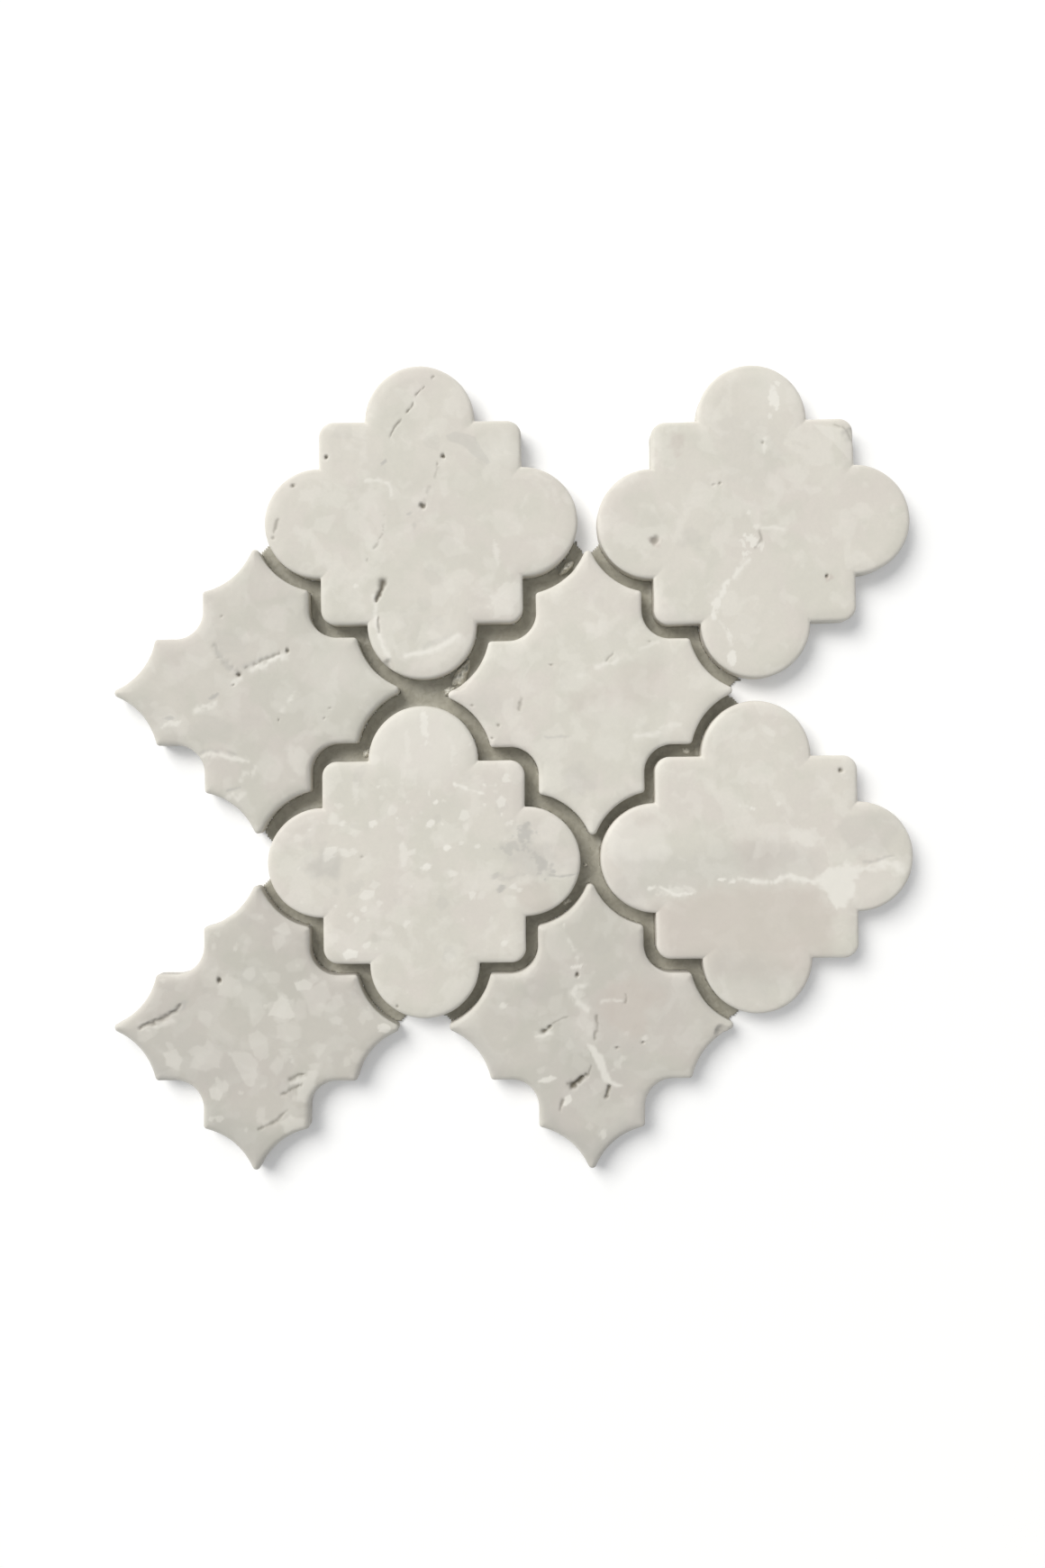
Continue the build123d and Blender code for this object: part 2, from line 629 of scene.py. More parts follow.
@dataclass(frozen=True)
class Field(Stain):
    """A part of the stone of another colour, or of painted shade, inside a border of straight runs.

    Fields: the border's corners in pixels, in order; its tint and strength; how far the border strays and
    half the width of its blur, in millimetres; its seed; and the grain of its straying.
    """

    border: tuple[Pixel, ...]
    tint: Tint = LIGHT
    strength: float = 0.4
    stray: float = 0.6
    blur: float = 0.4
    seed: int = 61
    grain: float = 3.6

    def share(self, points: Array) -> Array:
        """1 inside and 0 outside: a point is inside if a ray from it crosses the border an odd number of times.

        Args:
            points: rows of x and y.

        Returns:
            A share for each point.
        """
        warp = np.stack([layered_noise(points, self.grain, self.seed + shift) for shift in (0, 9)], axis=1)
        moved = points + self.stray * warp
        corners = PHOTO.on_sheet(self.border)
        closed = np.concatenate([corners, corners[:1]])
        start, run = closed[:-1], np.diff(closed, axis=0)
        up = moved[:, 1:] - start[:, 1]
        spanned = (up < 0) != (up < run[:, 1])
        crossing = start[:, 0] + up * run[:, 0] / np.where(run[:, 1] == 0, 1.0, run[:, 1])
        inside = (spanned & (moved[:, :1] < crossing)).sum(axis=1) % 2 == 1
        distance = along_path(moved, closed)[0]
        return smooth_step(-self.blur, self.blur, np.where(inside, distance, -distance))


@dataclass(frozen=True)
class Fragments(Stain):
    """Angular fragments of older stone, scattered over a part of the piece.

    Fields: the middle of that part in pixels, and its half extents; how many fragments; their least and
    greatest reach; their tint and greatest strength; how soft their edges are; their seed; how many sides
    each has; and how far the sides stray, with the grain of that.
    """

    at: Pixel
    reach: tuple[float, float] = (45.0, 45.0)
    count: int = 30
    least: float = 1.5
    greatest: float = 5.0
    tint: Tint = LIGHT
    strength: float = 0.25
    soft: float = 0.12
    seed: int = 41
    sides: int = 5
    stray: float = 0.35
    grain: float = 3.2

    def share(self, points: Array) -> Array:
        """Each fragment is what five straight sides leave, each a random reach from its middle.

        Args:
            points: rows of x and y.

        Returns:
            A share for each point.
        """
        chance = np.random.default_rng(self.seed)
        spot = chance.uniform(-1.0, 1.0, (self.count, 2)) * self.reach + PHOTO.on_sheet([self.at])[0]
        size = self.least * (self.greatest / self.least) ** chance.uniform(0.0, 1.0, self.count)
        turn = chance.uniform(0.0, 2 * math.pi, self.count)
        weight = chance.uniform(0.4, 1.0, self.count)
        warp = np.stack([layered_noise(points, self.grain, self.seed + shift) for shift in (0, 9)], axis=1)
        offset = (points + self.stray * warp)[:, None, :] - spot
        outside = np.zeros(offset.shape[:2])
        for side in range(self.sides):
            angle = turn + 2 * math.pi * (side + chance.uniform(-0.35, 0.35, self.count)) / self.sides
            reach = size * chance.uniform(0.45, 1.0, self.count)
            beyond = offset[:, :, 0] * np.cos(angle) + offset[:, :, 1] * np.sin(angle)
            outside = np.maximum(outside, beyond / reach)
        return ((1 - smooth_step(1 - self.soft, 1 + self.soft, outside)) * weight).max(axis=1)


@dataclass(frozen=True)
class Chip(Hollow):
    """A flake knocked off an edge: the face falls away there in a shallow bowl.

    Fields: its place in pixels; its radius; its depth; how light its fresh stone looks; and its seed.
    """

    at: Pixel
    radius: float = 3.5
    sunk: float = 1.6
    strength: float = 0.3
    seed: int = 31

    def share(self, points: Array) -> Array:
        """A bowl, deepest in the middle, with an uneven edge.

        Args:
            points: rows of x and y.

        Returns:
            A share for each point.
        """
        offset = points - PHOTO.on_sheet([self.at])[0]
        reach = np.hypot(offset[:, 0], offset[:, 1]) / self.radius + 0.25 * smooth_noise(points, 2.0, self.seed)
        return np.clip(1 - reach**2, 0.0, 1.0)

    def tints(self, points: Array) -> dict[Tint, Array]:
        """Light, as strong as the chip's share."""
        return {LIGHT: self.strength * self.share(points)}


class Graph:
    """A material's nodes, added and joined in few words."""

    def __init__(self, name: str) -> None:
        """Starts an empty material.

        Args:
            name: the material's name.
        """
        self.material = bpy.data.materials.new(name)
        self.material.use_nodes = True
        self.tree = self.material.node_tree
        self.tree.nodes.clear()

    def add(self, kind: str, **settings: object) -> bpy.types.Node:
        """Adds a node.

        Args:
            kind: the node's type, as Blender names it.
            settings: properties of the node, such as operation.

        Returns:
            The node.
        """
        node = self.tree.nodes.new(kind)
        for key, value in settings.items():
            setattr(node, key, value)
        return node

    def feed(self, socket: Socket, source: object) -> None:
        """Joins an output to a socket, or sets the socket to a value.

        Args:
            socket: the input.
            source: an output, or a number, a colour or a vector.
        """
        if isinstance(source, Socket):
            self.tree.links.new(source, socket)
        else:
            socket.default_value = source

    def maths(self, operation: str, first: object, second: object) -> Socket:
        """A Math node's output.

        Args:
            operation: the sum that it does.
            first: its first input, an output or a number.
            second: its second input.

        Returns:
            The result's socket.
        """
        node = self.add("ShaderNodeMath", operation=operation)
        self.feed(node.inputs[0], first)
        self.feed(node.inputs[1], second)
        return node.outputs[0]

    def blend(self, share: object, first: object, second: object) -> Socket:
        """A colour mixed from two.

        Args:
            share: how much of the second, an output or a number.
            first: the first colour, or an output.
            second: the second colour, or an output.

        Returns:
            The mixed colour's socket.
        """
        node = self.add("ShaderNodeMix", data_type="RGBA")
        self.feed(node.inputs["Factor"], share)
        self.feed(node.inputs[6], (*first, 1.0) if isinstance(first, tuple) else first)
        self.feed(node.inputs[7], (*second, 1.0) if isinstance(second, tuple) else second)
        return node.outputs[2]

    def noise(self, place: object, scale: float, detail: float = 3.0, distortion: float = 0.0) -> Socket:
        """A noise texture's value.

        Args:
            place: the coordinates it reads.
            scale: features in a metre.
            detail: how many finer layers it has.
            distortion: how much it is folded.

        Returns:
            The value's socket, about 0.5 in the middle.
        """
        node = self.add("ShaderNodeTexNoise")
        self.feed(node.inputs["Vector"], place)
        node.inputs["Scale"].default_value = scale
        node.inputs["Detail"].default_value = detail
        node.inputs["Distortion"].default_value = distortion
        return node.outputs["Fac"]

    def ramp(self, value: object, low: float, high: float, start: float = 0.0, end: float = 1.0) -> Socket:
        """A value carried from one range to another, smoothly and with its ends held.

        Args:
            value: the output it reads.
            low: where the result starts to change.
            high: where it stops.
            start: the result at low.
            end: the result at high.

        Returns:
            The result's socket.
        """
        node = self.add("ShaderNodeMapRange", interpolation_type="SMOOTHSTEP")
        for socket, source in zip(node.inputs, (value, low, high, start, end)):
            self.feed(socket, source)
        return node.outputs["Result"]

    def bump(self, height: object, distance: float, under: object = None) -> Socket:
        """A normal tilted by a height.

        Args:
            height: the output it reads.
            distance: millimetres from height 0 to height 1.
            under: a normal to start from.

        Returns:
            The normal's socket.
        """
        node = self.add("ShaderNodeBump")
        node.inputs["Strength"].default_value = 1.0
        node.inputs["Distance"].default_value = distance * METRES
        self.feed(node.inputs["Height"], height)
        if under is not None:
            self.feed(node.inputs["Normal"], under)
        return node.outputs["Normal"]

    def warped(self, place: object, scale: float, reach: float) -> Socket:
        """Coordinates pushed about by noise.

        Args:
            place: the coordinates it starts from.
            scale: features in a metre.
            reach: how far a place is pushed, in metres, where the noise is strongest.

        Returns:
            The new coordinates' socket.
        """
        noise = self.add("ShaderNodeTexNoise")
        self.feed(noise.inputs["Vector"], place)
        noise.inputs["Scale"].default_value = scale
        centred = self.add("ShaderNodeVectorMath", operation="SUBTRACT")
        self.feed(centred.inputs[0], noise.outputs["Color"])
        centred.inputs[1].default_value = (0.5, 0.5, 0.5)
        pushed = self.add("ShaderNodeVectorMath", operation="MULTIPLY_ADD")
        self.feed(pushed.inputs[0], centred.outputs[0])
        pushed.inputs[1].default_value = (2 * reach, 2 * reach, 2 * reach)
        self.feed(pushed.inputs[2], place)
        return pushed.outputs[0]

    def seen(self) -> Socket:
        """Tells a look at the surface from the light that falls on it.

        Returns:
            A socket that is 1 for the camera, a reflection or a clear piece, and 0 for other light.
        """
        path = self.add("ShaderNodeLightPath")
        straight = self.maths("MAXIMUM", path.outputs["Is Camera Ray"], path.outputs["Is Glossy Ray"])
        return self.maths("MAXIMUM", straight, path.outputs["Is Transmission Ray"])

    def place(self, shift: tuple[float, float, float] = (0.0, 0.0, 0.0), turn: float = 0.0) -> Socket:
        """Object coordinates, shifted and turned so that each piece is cut from its own part of the stone.

        Args:
            shift: how far they are shifted, in metres.
            turn: how far they are turned about Z, in radians.

        Returns:
            The coordinates' socket.
        """
        mapping = self.add("ShaderNodeMapping")
        mapping.inputs["Location"].default_value = shift
        mapping.inputs["Rotation"].default_value = (0.0, 0.0, turn)
        self.feed(mapping.inputs["Vector"], self.add("ShaderNodeTexCoord").outputs["Object"])
        return mapping.outputs["Vector"]

    def finish(self, shader: bpy.types.Node) -> Material:
        """Joins a shader to the surface and gives back the material."""
        self.feed(self.add("ShaderNodeOutputMaterial").inputs["Surface"], shader.outputs[0])
        return self.material


@dataclass(frozen=True)
class TumbledMarble:
    """Cream marble, honed by tumbling, with pink, green and pale clouds and a fine grain.

    Fields: the stone's tone, which multiplies its colours; the stone's colour and those of its clouds; the
    colours that the marks bring; how strong the clouds are; and the part of the stone that the piece is cut
    from.
    """

    tone: float = 1.0
    stone: Colour = (0.672, 0.641, 0.577)
    pink: Colour = (0.655, 0.608, 0.56)
    green: Colour = (0.605, 0.597, 0.522)
    light: Colour = (0.835, 0.812, 0.75)
    dark: Colour = (0.12, 0.105, 0.075)
    warm: Colour = (0.568, 0.512, 0.46)
    # Grey of the stone's clouds and grain, also used as painted shade.
    cool_and_shade: Colour = (0.43, 0.42, 0.395)
    pinkness: float = 0.5
    greenness: float = 0.42
    haze: float = 0.22
    shift: tuple[float, float, float] = (0.0, 0.0, 0.0)
    turn: float = 0.0

    def toned(self, colour: Colour) -> Colour:
        """A colour of the stone, multiplied by its tone."""
        return tuple(self.tone * part for part in colour)

    def material(self, name: str) -> Material:
        """Builds the finish.

        Args:
            name: the material's name.

        Returns:
            The material.
        """
        graph = Graph(name)
        place = graph.place(self.shift, self.turn)
        pink = graph.ramp(graph.noise(place, 34.0, 3.0, 0.5), 0.46, 0.62, 0.0, self.pinkness)
        colour = graph.blend(pink, self.toned(self.stone), self.toned(self.pink))
        folded = graph.warped(place, 70.0, 0.007)
        green = graph.ramp(graph.noise(folded, 42.0, 3.0), 0.48, 0.60, 0.0, self.greenness)
        colour = graph.blend(green, colour, self.toned(self.green))
        haze = graph.ramp(graph.noise(folded, 88.0, 4.0), 0.50, 0.60, 0.0, self.haze)
        colour = graph.blend(haze, colour, self.toned(self.light))
        mottle = graph.ramp(graph.noise(place, 260.0, 3.0), 0.40, 0.66, 0.0, 0.12)
        colour = graph.blend(mottle, colour, self.toned(self.green))
        grain = graph.noise(place, 900.0, 3.0)
        colour = graph.blend(graph.ramp(grain, 0.35, 0.65, 0.0, 0.05), colour, self.cool_and_shade)
        marks = ((WARM, self.warm), (COOL_AND_SHADE, self.cool_and_shade), (LIGHT, self.light), (DARK, self.dark))
        for tint, target in marks:
            attribute = graph.add("ShaderNodeAttribute", attribute_name=tint.value)
            colour = graph.blend(attribute.outputs["Fac"], colour, target)
        shader = graph.add("ShaderNodeBsdfPrincipled")
        graph.feed(shader.inputs["Base Color"], colour)
        graph.feed(shader.inputs["Roughness"], graph.ramp(graph.noise(place, 180.0, 4.0), 0.3, 0.7, 0.48, 0.64))
        shader.inputs["Specular IOR Level"].default_value = 0.35
        soft = graph.bump(graph.noise(place, 240.0, 4.0), 0.10)
        graph.feed(shader.inputs["Normal"], graph.bump(grain, 0.03, soft))
        return graph.finish(shader)


@dataclass(frozen=True)
class CoatedFibreglass:
    """Strands of glass fibre held in a soft coating, dulled by dust.

    Fields: the coating's colour, the dust's colour, and how rough the coating is.
    """

    coating: Colour = (0.31, 0.295, 0.245)
    dust: Colour = (0.24, 0.225, 0.18)
    roughness: float = 0.55

    def material(self, name: str) -> Material:
        """Builds the finish.

        Args:
            name: the material's name.

        Returns:
            The material.
        """
        graph = Graph(name)
        place = graph.place()
        dusty = graph.ramp(graph.noise(place, 160.0, 4.0), 0.42, 0.62)
        shader = graph.add("ShaderNodeBsdfPrincipled")
        graph.feed(shader.inputs["Base Color"], graph.blend(dusty, self.coating, self.dust))
        shader.inputs["Roughness"].default_value = self.roughness
        shader.inputs["Specular IOR Level"].default_value = 0.3
        graph.feed(shader.inputs["Normal"], graph.bump(graph.noise(place, 2600.0, 2.0), 0.05))
        return graph.finish(shader)


@dataclass(frozen=True)
class DriedAdhesive:
    """White adhesive that has dried clear at its edges and picked up dust.

    Fields: the adhesive's colour, the dust's colour, and how rough it is.
    """

    adhesive: Colour = (0.47, 0.45, 0.385)
    dust: Colour = (0.27, 0.25, 0.205)
    roughness: float = 0.4

    def material(self, name: str) -> Material:
        """Builds the finish.

        Args:
            name: the material's name.

        Returns:
            The material.
        """
        graph = Graph(name)
        place = graph.place()
        dusty = graph.ramp(graph.noise(place, 420.0, 4.0, 0.8), 0.38, 0.66)
        shader = graph.add("ShaderNodeBsdfPrincipled")
        graph.feed(shader.inputs["Base Color"], graph.blend(dusty, self.adhesive, self.dust))
        shader.inputs["Roughness"].default_value = self.roughness
        graph.feed(shader.inputs["Normal"], graph.bump(graph.noise(place, 900.0, 3.0), 0.15))
        return graph.finish(shader)


@dataclass(frozen=True)
class StudioWhite:
    """A white surface that shows white to the camera and still takes the sheet's shadow.

    Fields: its colour, and what it adds for the camera alone.
    """

    paint: Colour = (0.86, 0.86, 0.86)
    lift: float = 0.165

    def material(self, name: str) -> Material:
        """Builds the finish.

        Args:
            name: the material's name.

        Returns:
            The material.
        """
        graph = Graph(name)
        paint = graph.add("ShaderNodeBsdfDiffuse")
        paint.inputs["Color"].default_value = (*self.paint, 1.0)
        glow = graph.add("ShaderNodeEmission")
        graph.feed(glow.inputs["Strength"], graph.maths("MULTIPLY", graph.seen(), self.lift))
        both = graph.add("ShaderNodeAddShader")
        graph.feed(both.inputs[0], paint.outputs[0])
        graph.feed(both.inputs[1], glow.outputs[0])
        return graph.finish(both)


@dataclass(frozen=True)
class Wear:
    """What tumbling has done to a piece, and a lighter arris that is partly wear and partly painted highlight.

    Fields: how far in the rounding reaches, how far it drops the edge, and how much both vary; how far in the
    gentle slope behind it reaches, and how steep it is at the edge; how far the edge strays inwards, and how
    far in that is felt; the face's sag; the ease of the back's edge; how light the arris looks, partly as wear
    and partly as painted highlight, how far in, where down the side that starts to fade, and over what height;
    and the seed.
    """

    width: float = 1.6
    height: float = 1.1
    varied: float = 0.28
    slope_width: float = 5.5
    slope: float = 0.24
    stray: float = 0.22
    stray_width: float = 1.5
    sag: float = 0.22
    back_ease: float = 0.45
    # How light the arris looks: partly wear, partly a painted highlight.
    arris: float = 0.6
    arris_width: float = 0.95
    arris_drop: float = 1.5
    arris_fade: float = 4.0
    seed: int = 1

    def stray_in(self, points: Array) -> Array:
        """How far the edge strays inwards: noise from nothing to the full stray."""
        return self.stray * (0.5 + 0.5 * np.clip(layered_noise(points, 11.0, self.seed), -1.0, 1.0))

    def lowering(self, points: Array, inside: Array) -> Array:
        """How far the face is lowered near its edge, and by a slow sag everywhere.

        The edge is a quarter ellipse, and behind it the face rises less and less up to the slope's width.

        Args:
            points: rows of x and y.
            inside: how far each point is inside the outline.

        Returns:
            A depth below the highest point of the face, for each point.
        """
        width = self.width * (1 + self.varied * layered_noise(points, 13.0, self.seed + 11, 2))
        height = self.height * (1 + self.varied * layered_noise(points, 17.0, self.seed + 23, 2))
        short = np.clip(1 - inside / width, 0.0, 1.0)
        rim = height * (1 - np.sqrt(1 - short**2))
        rim += self.slope * self.slope_width / 2 * np.clip(1 - inside / self.slope_width, 0.0, 1.0) ** 2
        return rim + self.sag * (0.5 + 0.5 * np.clip(layered_noise(points, 26.0, self.seed + 37), -1.0, 1.0))

    def arris_wear_and_highlight(self, points: Array, inside: Array) -> Array:
        """How much lighter the arris is, as wear and painted highlight: a bell of the depth inside, varied by noise.
        """
        varied = 0.75 + 0.5 * layered_noise(points, 8.0, self.seed + 53, 2)
        return self.arris * np.clip(varied, 0.0, 1.2) * np.exp(-((inside / self.arris_width) ** 2))


class Part(ABC):
    """A part of the sheet, built as a mesh and then dressed."""

    @abstractmethod
    def build(self) -> Object:
        """Makes the part's mesh object."""

    @abstractmethod
    def dress(self, piece: Object) -> None:
        """Gives the object its finish."""


@dataclass(frozen=True)
class MarblePiece(Part):
    """One piece of marble, in place of its plain solid.

    Fields: its CAD node; its plan; its turn in degrees; its finish; its wear; its marks; the points of its plan
    for each ring; how many rings crowd to the edge, and their step; the shares of the way down that its side
    has rings at, and where the back's edge starts to be eased; the sizes of the back's rings; how rough its
    side is; and the least thickness under a mark.
    """

    node: str
    outline: Outline
    turn: float
    finish: TumbledMarble
    wear: Wear
    marks: tuple[Mark, ...] = ()
    plan_points: int = 24
    edge_rings: int = 9
    edge_step: float = 0.0006
    wall: tuple[float, ...] = (0.05, 0.15, 0.3, 0.5, 0.7, 0.86, 0.95, 0.985)
    wall_ease: float = 0.9
    back: tuple[float, ...] = (1.0, 0.985, 0.9)
    roughness: float = 0.1
    thinnest: float = 3.0

    def grid(self) -> tuple[Array, Array]:
        """Lays a square grid over the plan.

        The ring of the grid k steps from its middle becomes the outline at a share of its size: near the edge
        the share is 1 less a step times the square of the rings left, and inside that it falls evenly to 0.

        Returns:
            Rows of x and y, and the grid of their numbers.
        """
        rings = self.outline.rings
        steps = np.arange(-rings, rings + 1)
        u, v = [plane.ravel() for plane in np.meshgrid(steps, steps, indexing="ij")]
        ring = np.maximum(np.abs(u), np.abs(v))
        sides = [(u == ring) & (v >= 0), v == ring, u == -ring, v == -ring, (u == ring) & (v < 0)]
        places = np.select(sides, [v, 2 * ring - u, 4 * ring - v, 6 * ring + u, 8 * ring + v])
        share = places / np.maximum(8 * ring, 1)
        plan = self.outline.ring(self.plan_points * rings)
        plan = np.concatenate([plan, plan[:1]])
        along = np.linspace(0.0, 1.0, len(plan))
        left = rings - ring
        last = 1 - self.edge_step * self.edge_rings**2
        inner = last * ring / (rings - self.edge_rings)
        size = np.where(left < self.edge_rings, 1 - self.edge_step * left**2, inner)
        points = np.stack([np.interp(share, along, plan[:, axis]) for axis in (0, 1)], axis=1) * size[:, None]
        return points, np.arange(len(points)).reshape(len(steps), len(steps))

    @property
    def middle(self) -> Array:
        """The middle of the piece's node, in the sheet."""
        low, high = (np.array(corner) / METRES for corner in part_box(self.node))
        return (low[:2] + high[:2]) / 2

    @property
    def turning(self) -> Array:
        """The matrix that turns rows of points by the piece's turn."""
        angle = math.radians(self.turn)
        return np.array([[math.cos(angle), math.sin(angle)], [-math.sin(angle), math.cos(angle)]])

    def to_piece(self, points: Array) -> Array:
        """Points of the sheet, about the piece's own middle and axes."""
        return (points - self.middle) @ self.turning.T

    def inwards(self, points: Array) -> Array:
        """The way in from the outline at each point: the slope of its depth inside, made one long."""
        slope = self.outline.slope(points)
        return slope / np.maximum(np.hypot(slope[:, 0], slope[:, 1]), 1e-6)[:, None]

    def rim_loop(self, numbers: Array) -> Array:
        """The numbers of the grid's outermost points, anticlockwise."""
        return np.concatenate([numbers[:-1, 0], numbers[-1, :-1], numbers[:0:-1, -1], numbers[0, :0:-1]])

    def face(self, plan: Array, way_in: Array) -> Array:
        """Bends the grid into the worn face: its edge strays inwards, and the wear and the marks lower it.

        Args:
            plan: rows of x and y about the piece's middle, for the grid's points.
            way_in: the way in from the outline at each of them, along the sheet's axes.

        Returns:
            Rows of x, y and z in the sheet.
        """
        floor, top = (corner[2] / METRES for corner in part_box(self.node))
        inside = np.maximum(self.outline.inside(plan), 0.0)
        near_edge = np.exp(-inside / self.wear.stray_width)[:, None]
        sheet = plan @ self.turning + self.middle
        sheet = sheet + way_in * self.wear.stray_in(sheet)[:, None] * near_edge
        lowered = self.wear.lowering(sheet, inside) + sum(mark.depth(sheet) for mark in self.marks)
        return np.column_stack([sheet, np.maximum(top - lowered, floor + self.thinnest)])

    def side_and_back(self, edge: Array, way_in: Array) -> list[Array]:
        """Lays rings of points down the side, rough and eased to the back, and then in over the flat back.

        Args:
            edge: rows of x, y and z round the face.
            way_in: the way in from the outline at each of them.

        Returns:
            The points of each ring, and last the one in the middle of the back.
        """
        floor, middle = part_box(self.node)[0][2] / METRES, self.middle
        rows = []
        for share in self.wall:
            level = edge[:, 2] + (floor - edge[:, 2]) * share
            noise = layered_noise(edge[:, :2] + level[:, None] * (0.9, -0.7), 3.5, self.wear.seed + 71)
            rough = self.roughness * (0.5 + 0.5 * np.clip(noise, -1, 1))
            ease = self.wear.back_ease * smooth_step(self.wall_ease, 1.0, np.full(len(level), share))
            rows.append(np.column_stack([edge[:, :2] + way_in * (rough + ease)[:, None], level]))
        for share in self.back:
            flat = middle + (edge[:, :2] + way_in * (self.wear.back_ease + self.roughness) - middle) * share
            rows.append(np.column_stack([flat, np.full(len(flat), floor)]))
        return [*rows, np.array([[*middle, floor]])]

    def build(self) -> Object:
        """Makes the piece: its face on the grid, its sides as rings below the rim, and its flat back.

        Returns:
            The piece, standing for its solid.
        """
        plan, numbers = self.grid()
        way_in = self.inwards(plan) @ self.turning
        face, loop = self.face(plan, way_in), self.rim_loop(numbers)
        rows = [face, *self.side_and_back(face[loop], way_in[loop])]
        count = len(loop)
        loops = [loop] + [len(face) + count * row + np.arange(count) for row in range(len(rows) - 2)]
        sides = [np.stack([upper, lower, np.roll(lower, -1), np.roll(upper, -1)], axis=1)
                 for upper, lower in zip(loops, loops[1:])]
        top_faces = np.stack([numbers[:-1, :-1], numbers[1:, :-1], numbers[1:, 1:], numbers[:-1, 1:]], axis=-1)
        last, centre = loops[-1], sum(len(row) for row in rows) - 1
        back = np.stack([last, np.full(count, centre), np.roll(last, -1)], axis=1)
        vertices = np.concatenate(rows)
        piece = write_mesh(f"{self.node}_tumbled", vertices, [top_faces.reshape(-1, 4), *sides, back])
        self.paint(piece, vertices)
        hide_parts(self.node)
        return piece

    def paint(self, piece: Object, vertices: Array) -> None:
        """Writes the marks' tints on the mesh, one attribute for each tint, and the lighter arris, partly wear and
        partly painted highlight, into the light tint.

        Args:
            piece: the piece's object.
            vertices: rows of x, y and z.
        """
        points = vertices[:, :2]
        totals = {tint: np.zeros(len(points)) for tint in Tint}
        for mark in self.marks:
            for tint, strength in mark.tints(points).items():
                totals[tint] = np.maximum(totals[tint], strength)
        inside = np.maximum(self.outline.inside(self.to_piece(points)), 0.0)
        # The arris is lighter, partly as wear and partly as painted highlight, fading down the side.
        drop = vertices[:, 2].max() - vertices[:, 2] - self.wear.arris_drop
        below = smooth_step(0.0, self.wear.arris_fade, drop)
        arris = self.wear.arris_wear_and_highlight(points, inside) * (1 - below)
        totals[LIGHT] = np.maximum(totals[LIGHT], arris)
        for tint, total in totals.items():
            attribute = piece.data.attributes.new(tint.value, "FLOAT", "POINT")
            attribute.data.foreach_set("value", np.clip(total, 0.0, 1.0).astype(np.float32))

    def dress(self, piece: Object) -> None:
        """Gives the piece its finish and body.

        Args:
            piece: the part's object.
        """
        piece.data.materials.append(self.finish.material(f"{self.node}_marble"))
        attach(piece, BODY)


@dataclass(frozen=True)
class NetLayer(Part):
    """The strands of the backing net that run one way, woven over and under the others.

    Fields: the CAD node that it stands for, and the one that it crosses; whether its strands run across the
    sheet; its finish; the net's pitch; a strand's width and thickness; the level of the weave's middle with
    its swing up and down; how many sides a strand has; and how many steps it has in a pitch.
    """

    node: str
    crossed: str
    across: bool
    finish: CoatedFibreglass
    pitch: float = 5.0
    width: float = 0.78
    thickness: float = 0.34
    middle: float = 0.35
    swing: float = 0.17
    sides: int = 5
    steps_in_pitch: int = 2

    @staticmethod
    def runs(node: str, across: bool) -> Array:
        """Reads the strands of a plain layer.

        The strands' corners are sorted by the place of their edge and then along it, so each two that follow
        each other are the ends of one edge, and every second edge is a strand's far one.

        Args:
            node: the layer's CAD node.
            across: whether its strands run across the sheet.

        Returns:
            One row for each strand: its place across the layer, and where it starts and ends along it.
        """
        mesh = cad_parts[node].data
        corners = np.empty(len(mesh.vertices) * 3)
        mesh.vertices.foreach_get("co", corners)
        plan = corners.reshape(-1, 3)[:, [1, 0] if across else [0, 1]] / METRES
        ends = np.unique(np.round(plan, 3), axis=0).reshape(-1, 2, 2)
        number = np.unique(ends[:, 0, 0], return_inverse=True)[1]
        near, far = ends[number % 2 == 0], ends[number % 2 == 1]
        return np.column_stack([(near[:, 0, 0] + far[:, 0, 0]) / 2, near[:, 0, 1], near[:, 1, 1]])

    def strand(self, place: float, start: float, end: float, first: float, turn: int) -> tuple[Array, Array]:
        """One strand as a closed flat tube.

        Its section is a flattened circle, and its middle swings as the cosine of pi times the way along over
        the pitch, so that it passes over one crossing strand and under the next.

        Args:
            place: where it lies across its layer.
            start: where it starts along its layer.
            end: where it ends.
            first: where a crossing strand lies along it.
            turn: 0 or 1, for over or under at that crossing.

        Returns:
            Its vertices and its faces.
        """
        count = max(2, round((end - start) / self.pitch * self.steps_in_pitch))
        along = np.linspace(start, end, count + 1)
        rise = self.middle + self.swing * np.cos(math.pi * ((along - first) / self.pitch + turn))
        around = np.arange(self.sides) / self.sides * 2 * math.pi
        beside = place + self.width / 2 * np.cos(around)
        above = self.thickness / 2 * np.sin(around)
        grid = np.empty((len(along), self.sides, 3))
        grid[:, :, 0] = beside
        grid[:, :, 1] = along[:, None]
        grid[:, :, 2] = rise[:, None] + above
        if self.across:
            grid[:, :, [0, 1]] = grid[:, :, [1, 0]]
        numbers, skin = tube(len(along), self.sides)
        fans = np.array([[0, n, n + 1] for n in range(1, self.sides - 1)])
        skin = np.concatenate([skin, fans, numbers[-1][fans[:, ::-1]]])
        return grid.reshape(-1, 3), skin[:, ::-1] if self.across else skin

    def build(self) -> Object:
        """Makes the layer.

        Returns:
            The layer, standing for its plain one.
        """
        strands = []
        runs = self.runs(self.node, self.across)
        crossing = self.runs(self.crossed, not self.across)[:, 0].min()
        for place, start, end in runs:
            number = round((place - runs[:, 0].min()) / self.pitch)
            strands.append(self.strand(place, start, end, crossing, number + int(self.across)))
        vertices, faces = joined(strands)
        piece = write_mesh(f"{self.node}_woven", vertices, [faces])
        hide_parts(self.node)
        return piece

    def dress(self, piece: Object) -> None:
        """Gives the layer its finish and body.

        Args:
            piece: the part's object.
        """
        piece.data.materials.append(self.finish.material(f"{self.node}_fibreglass"))
        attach(piece, BODY)


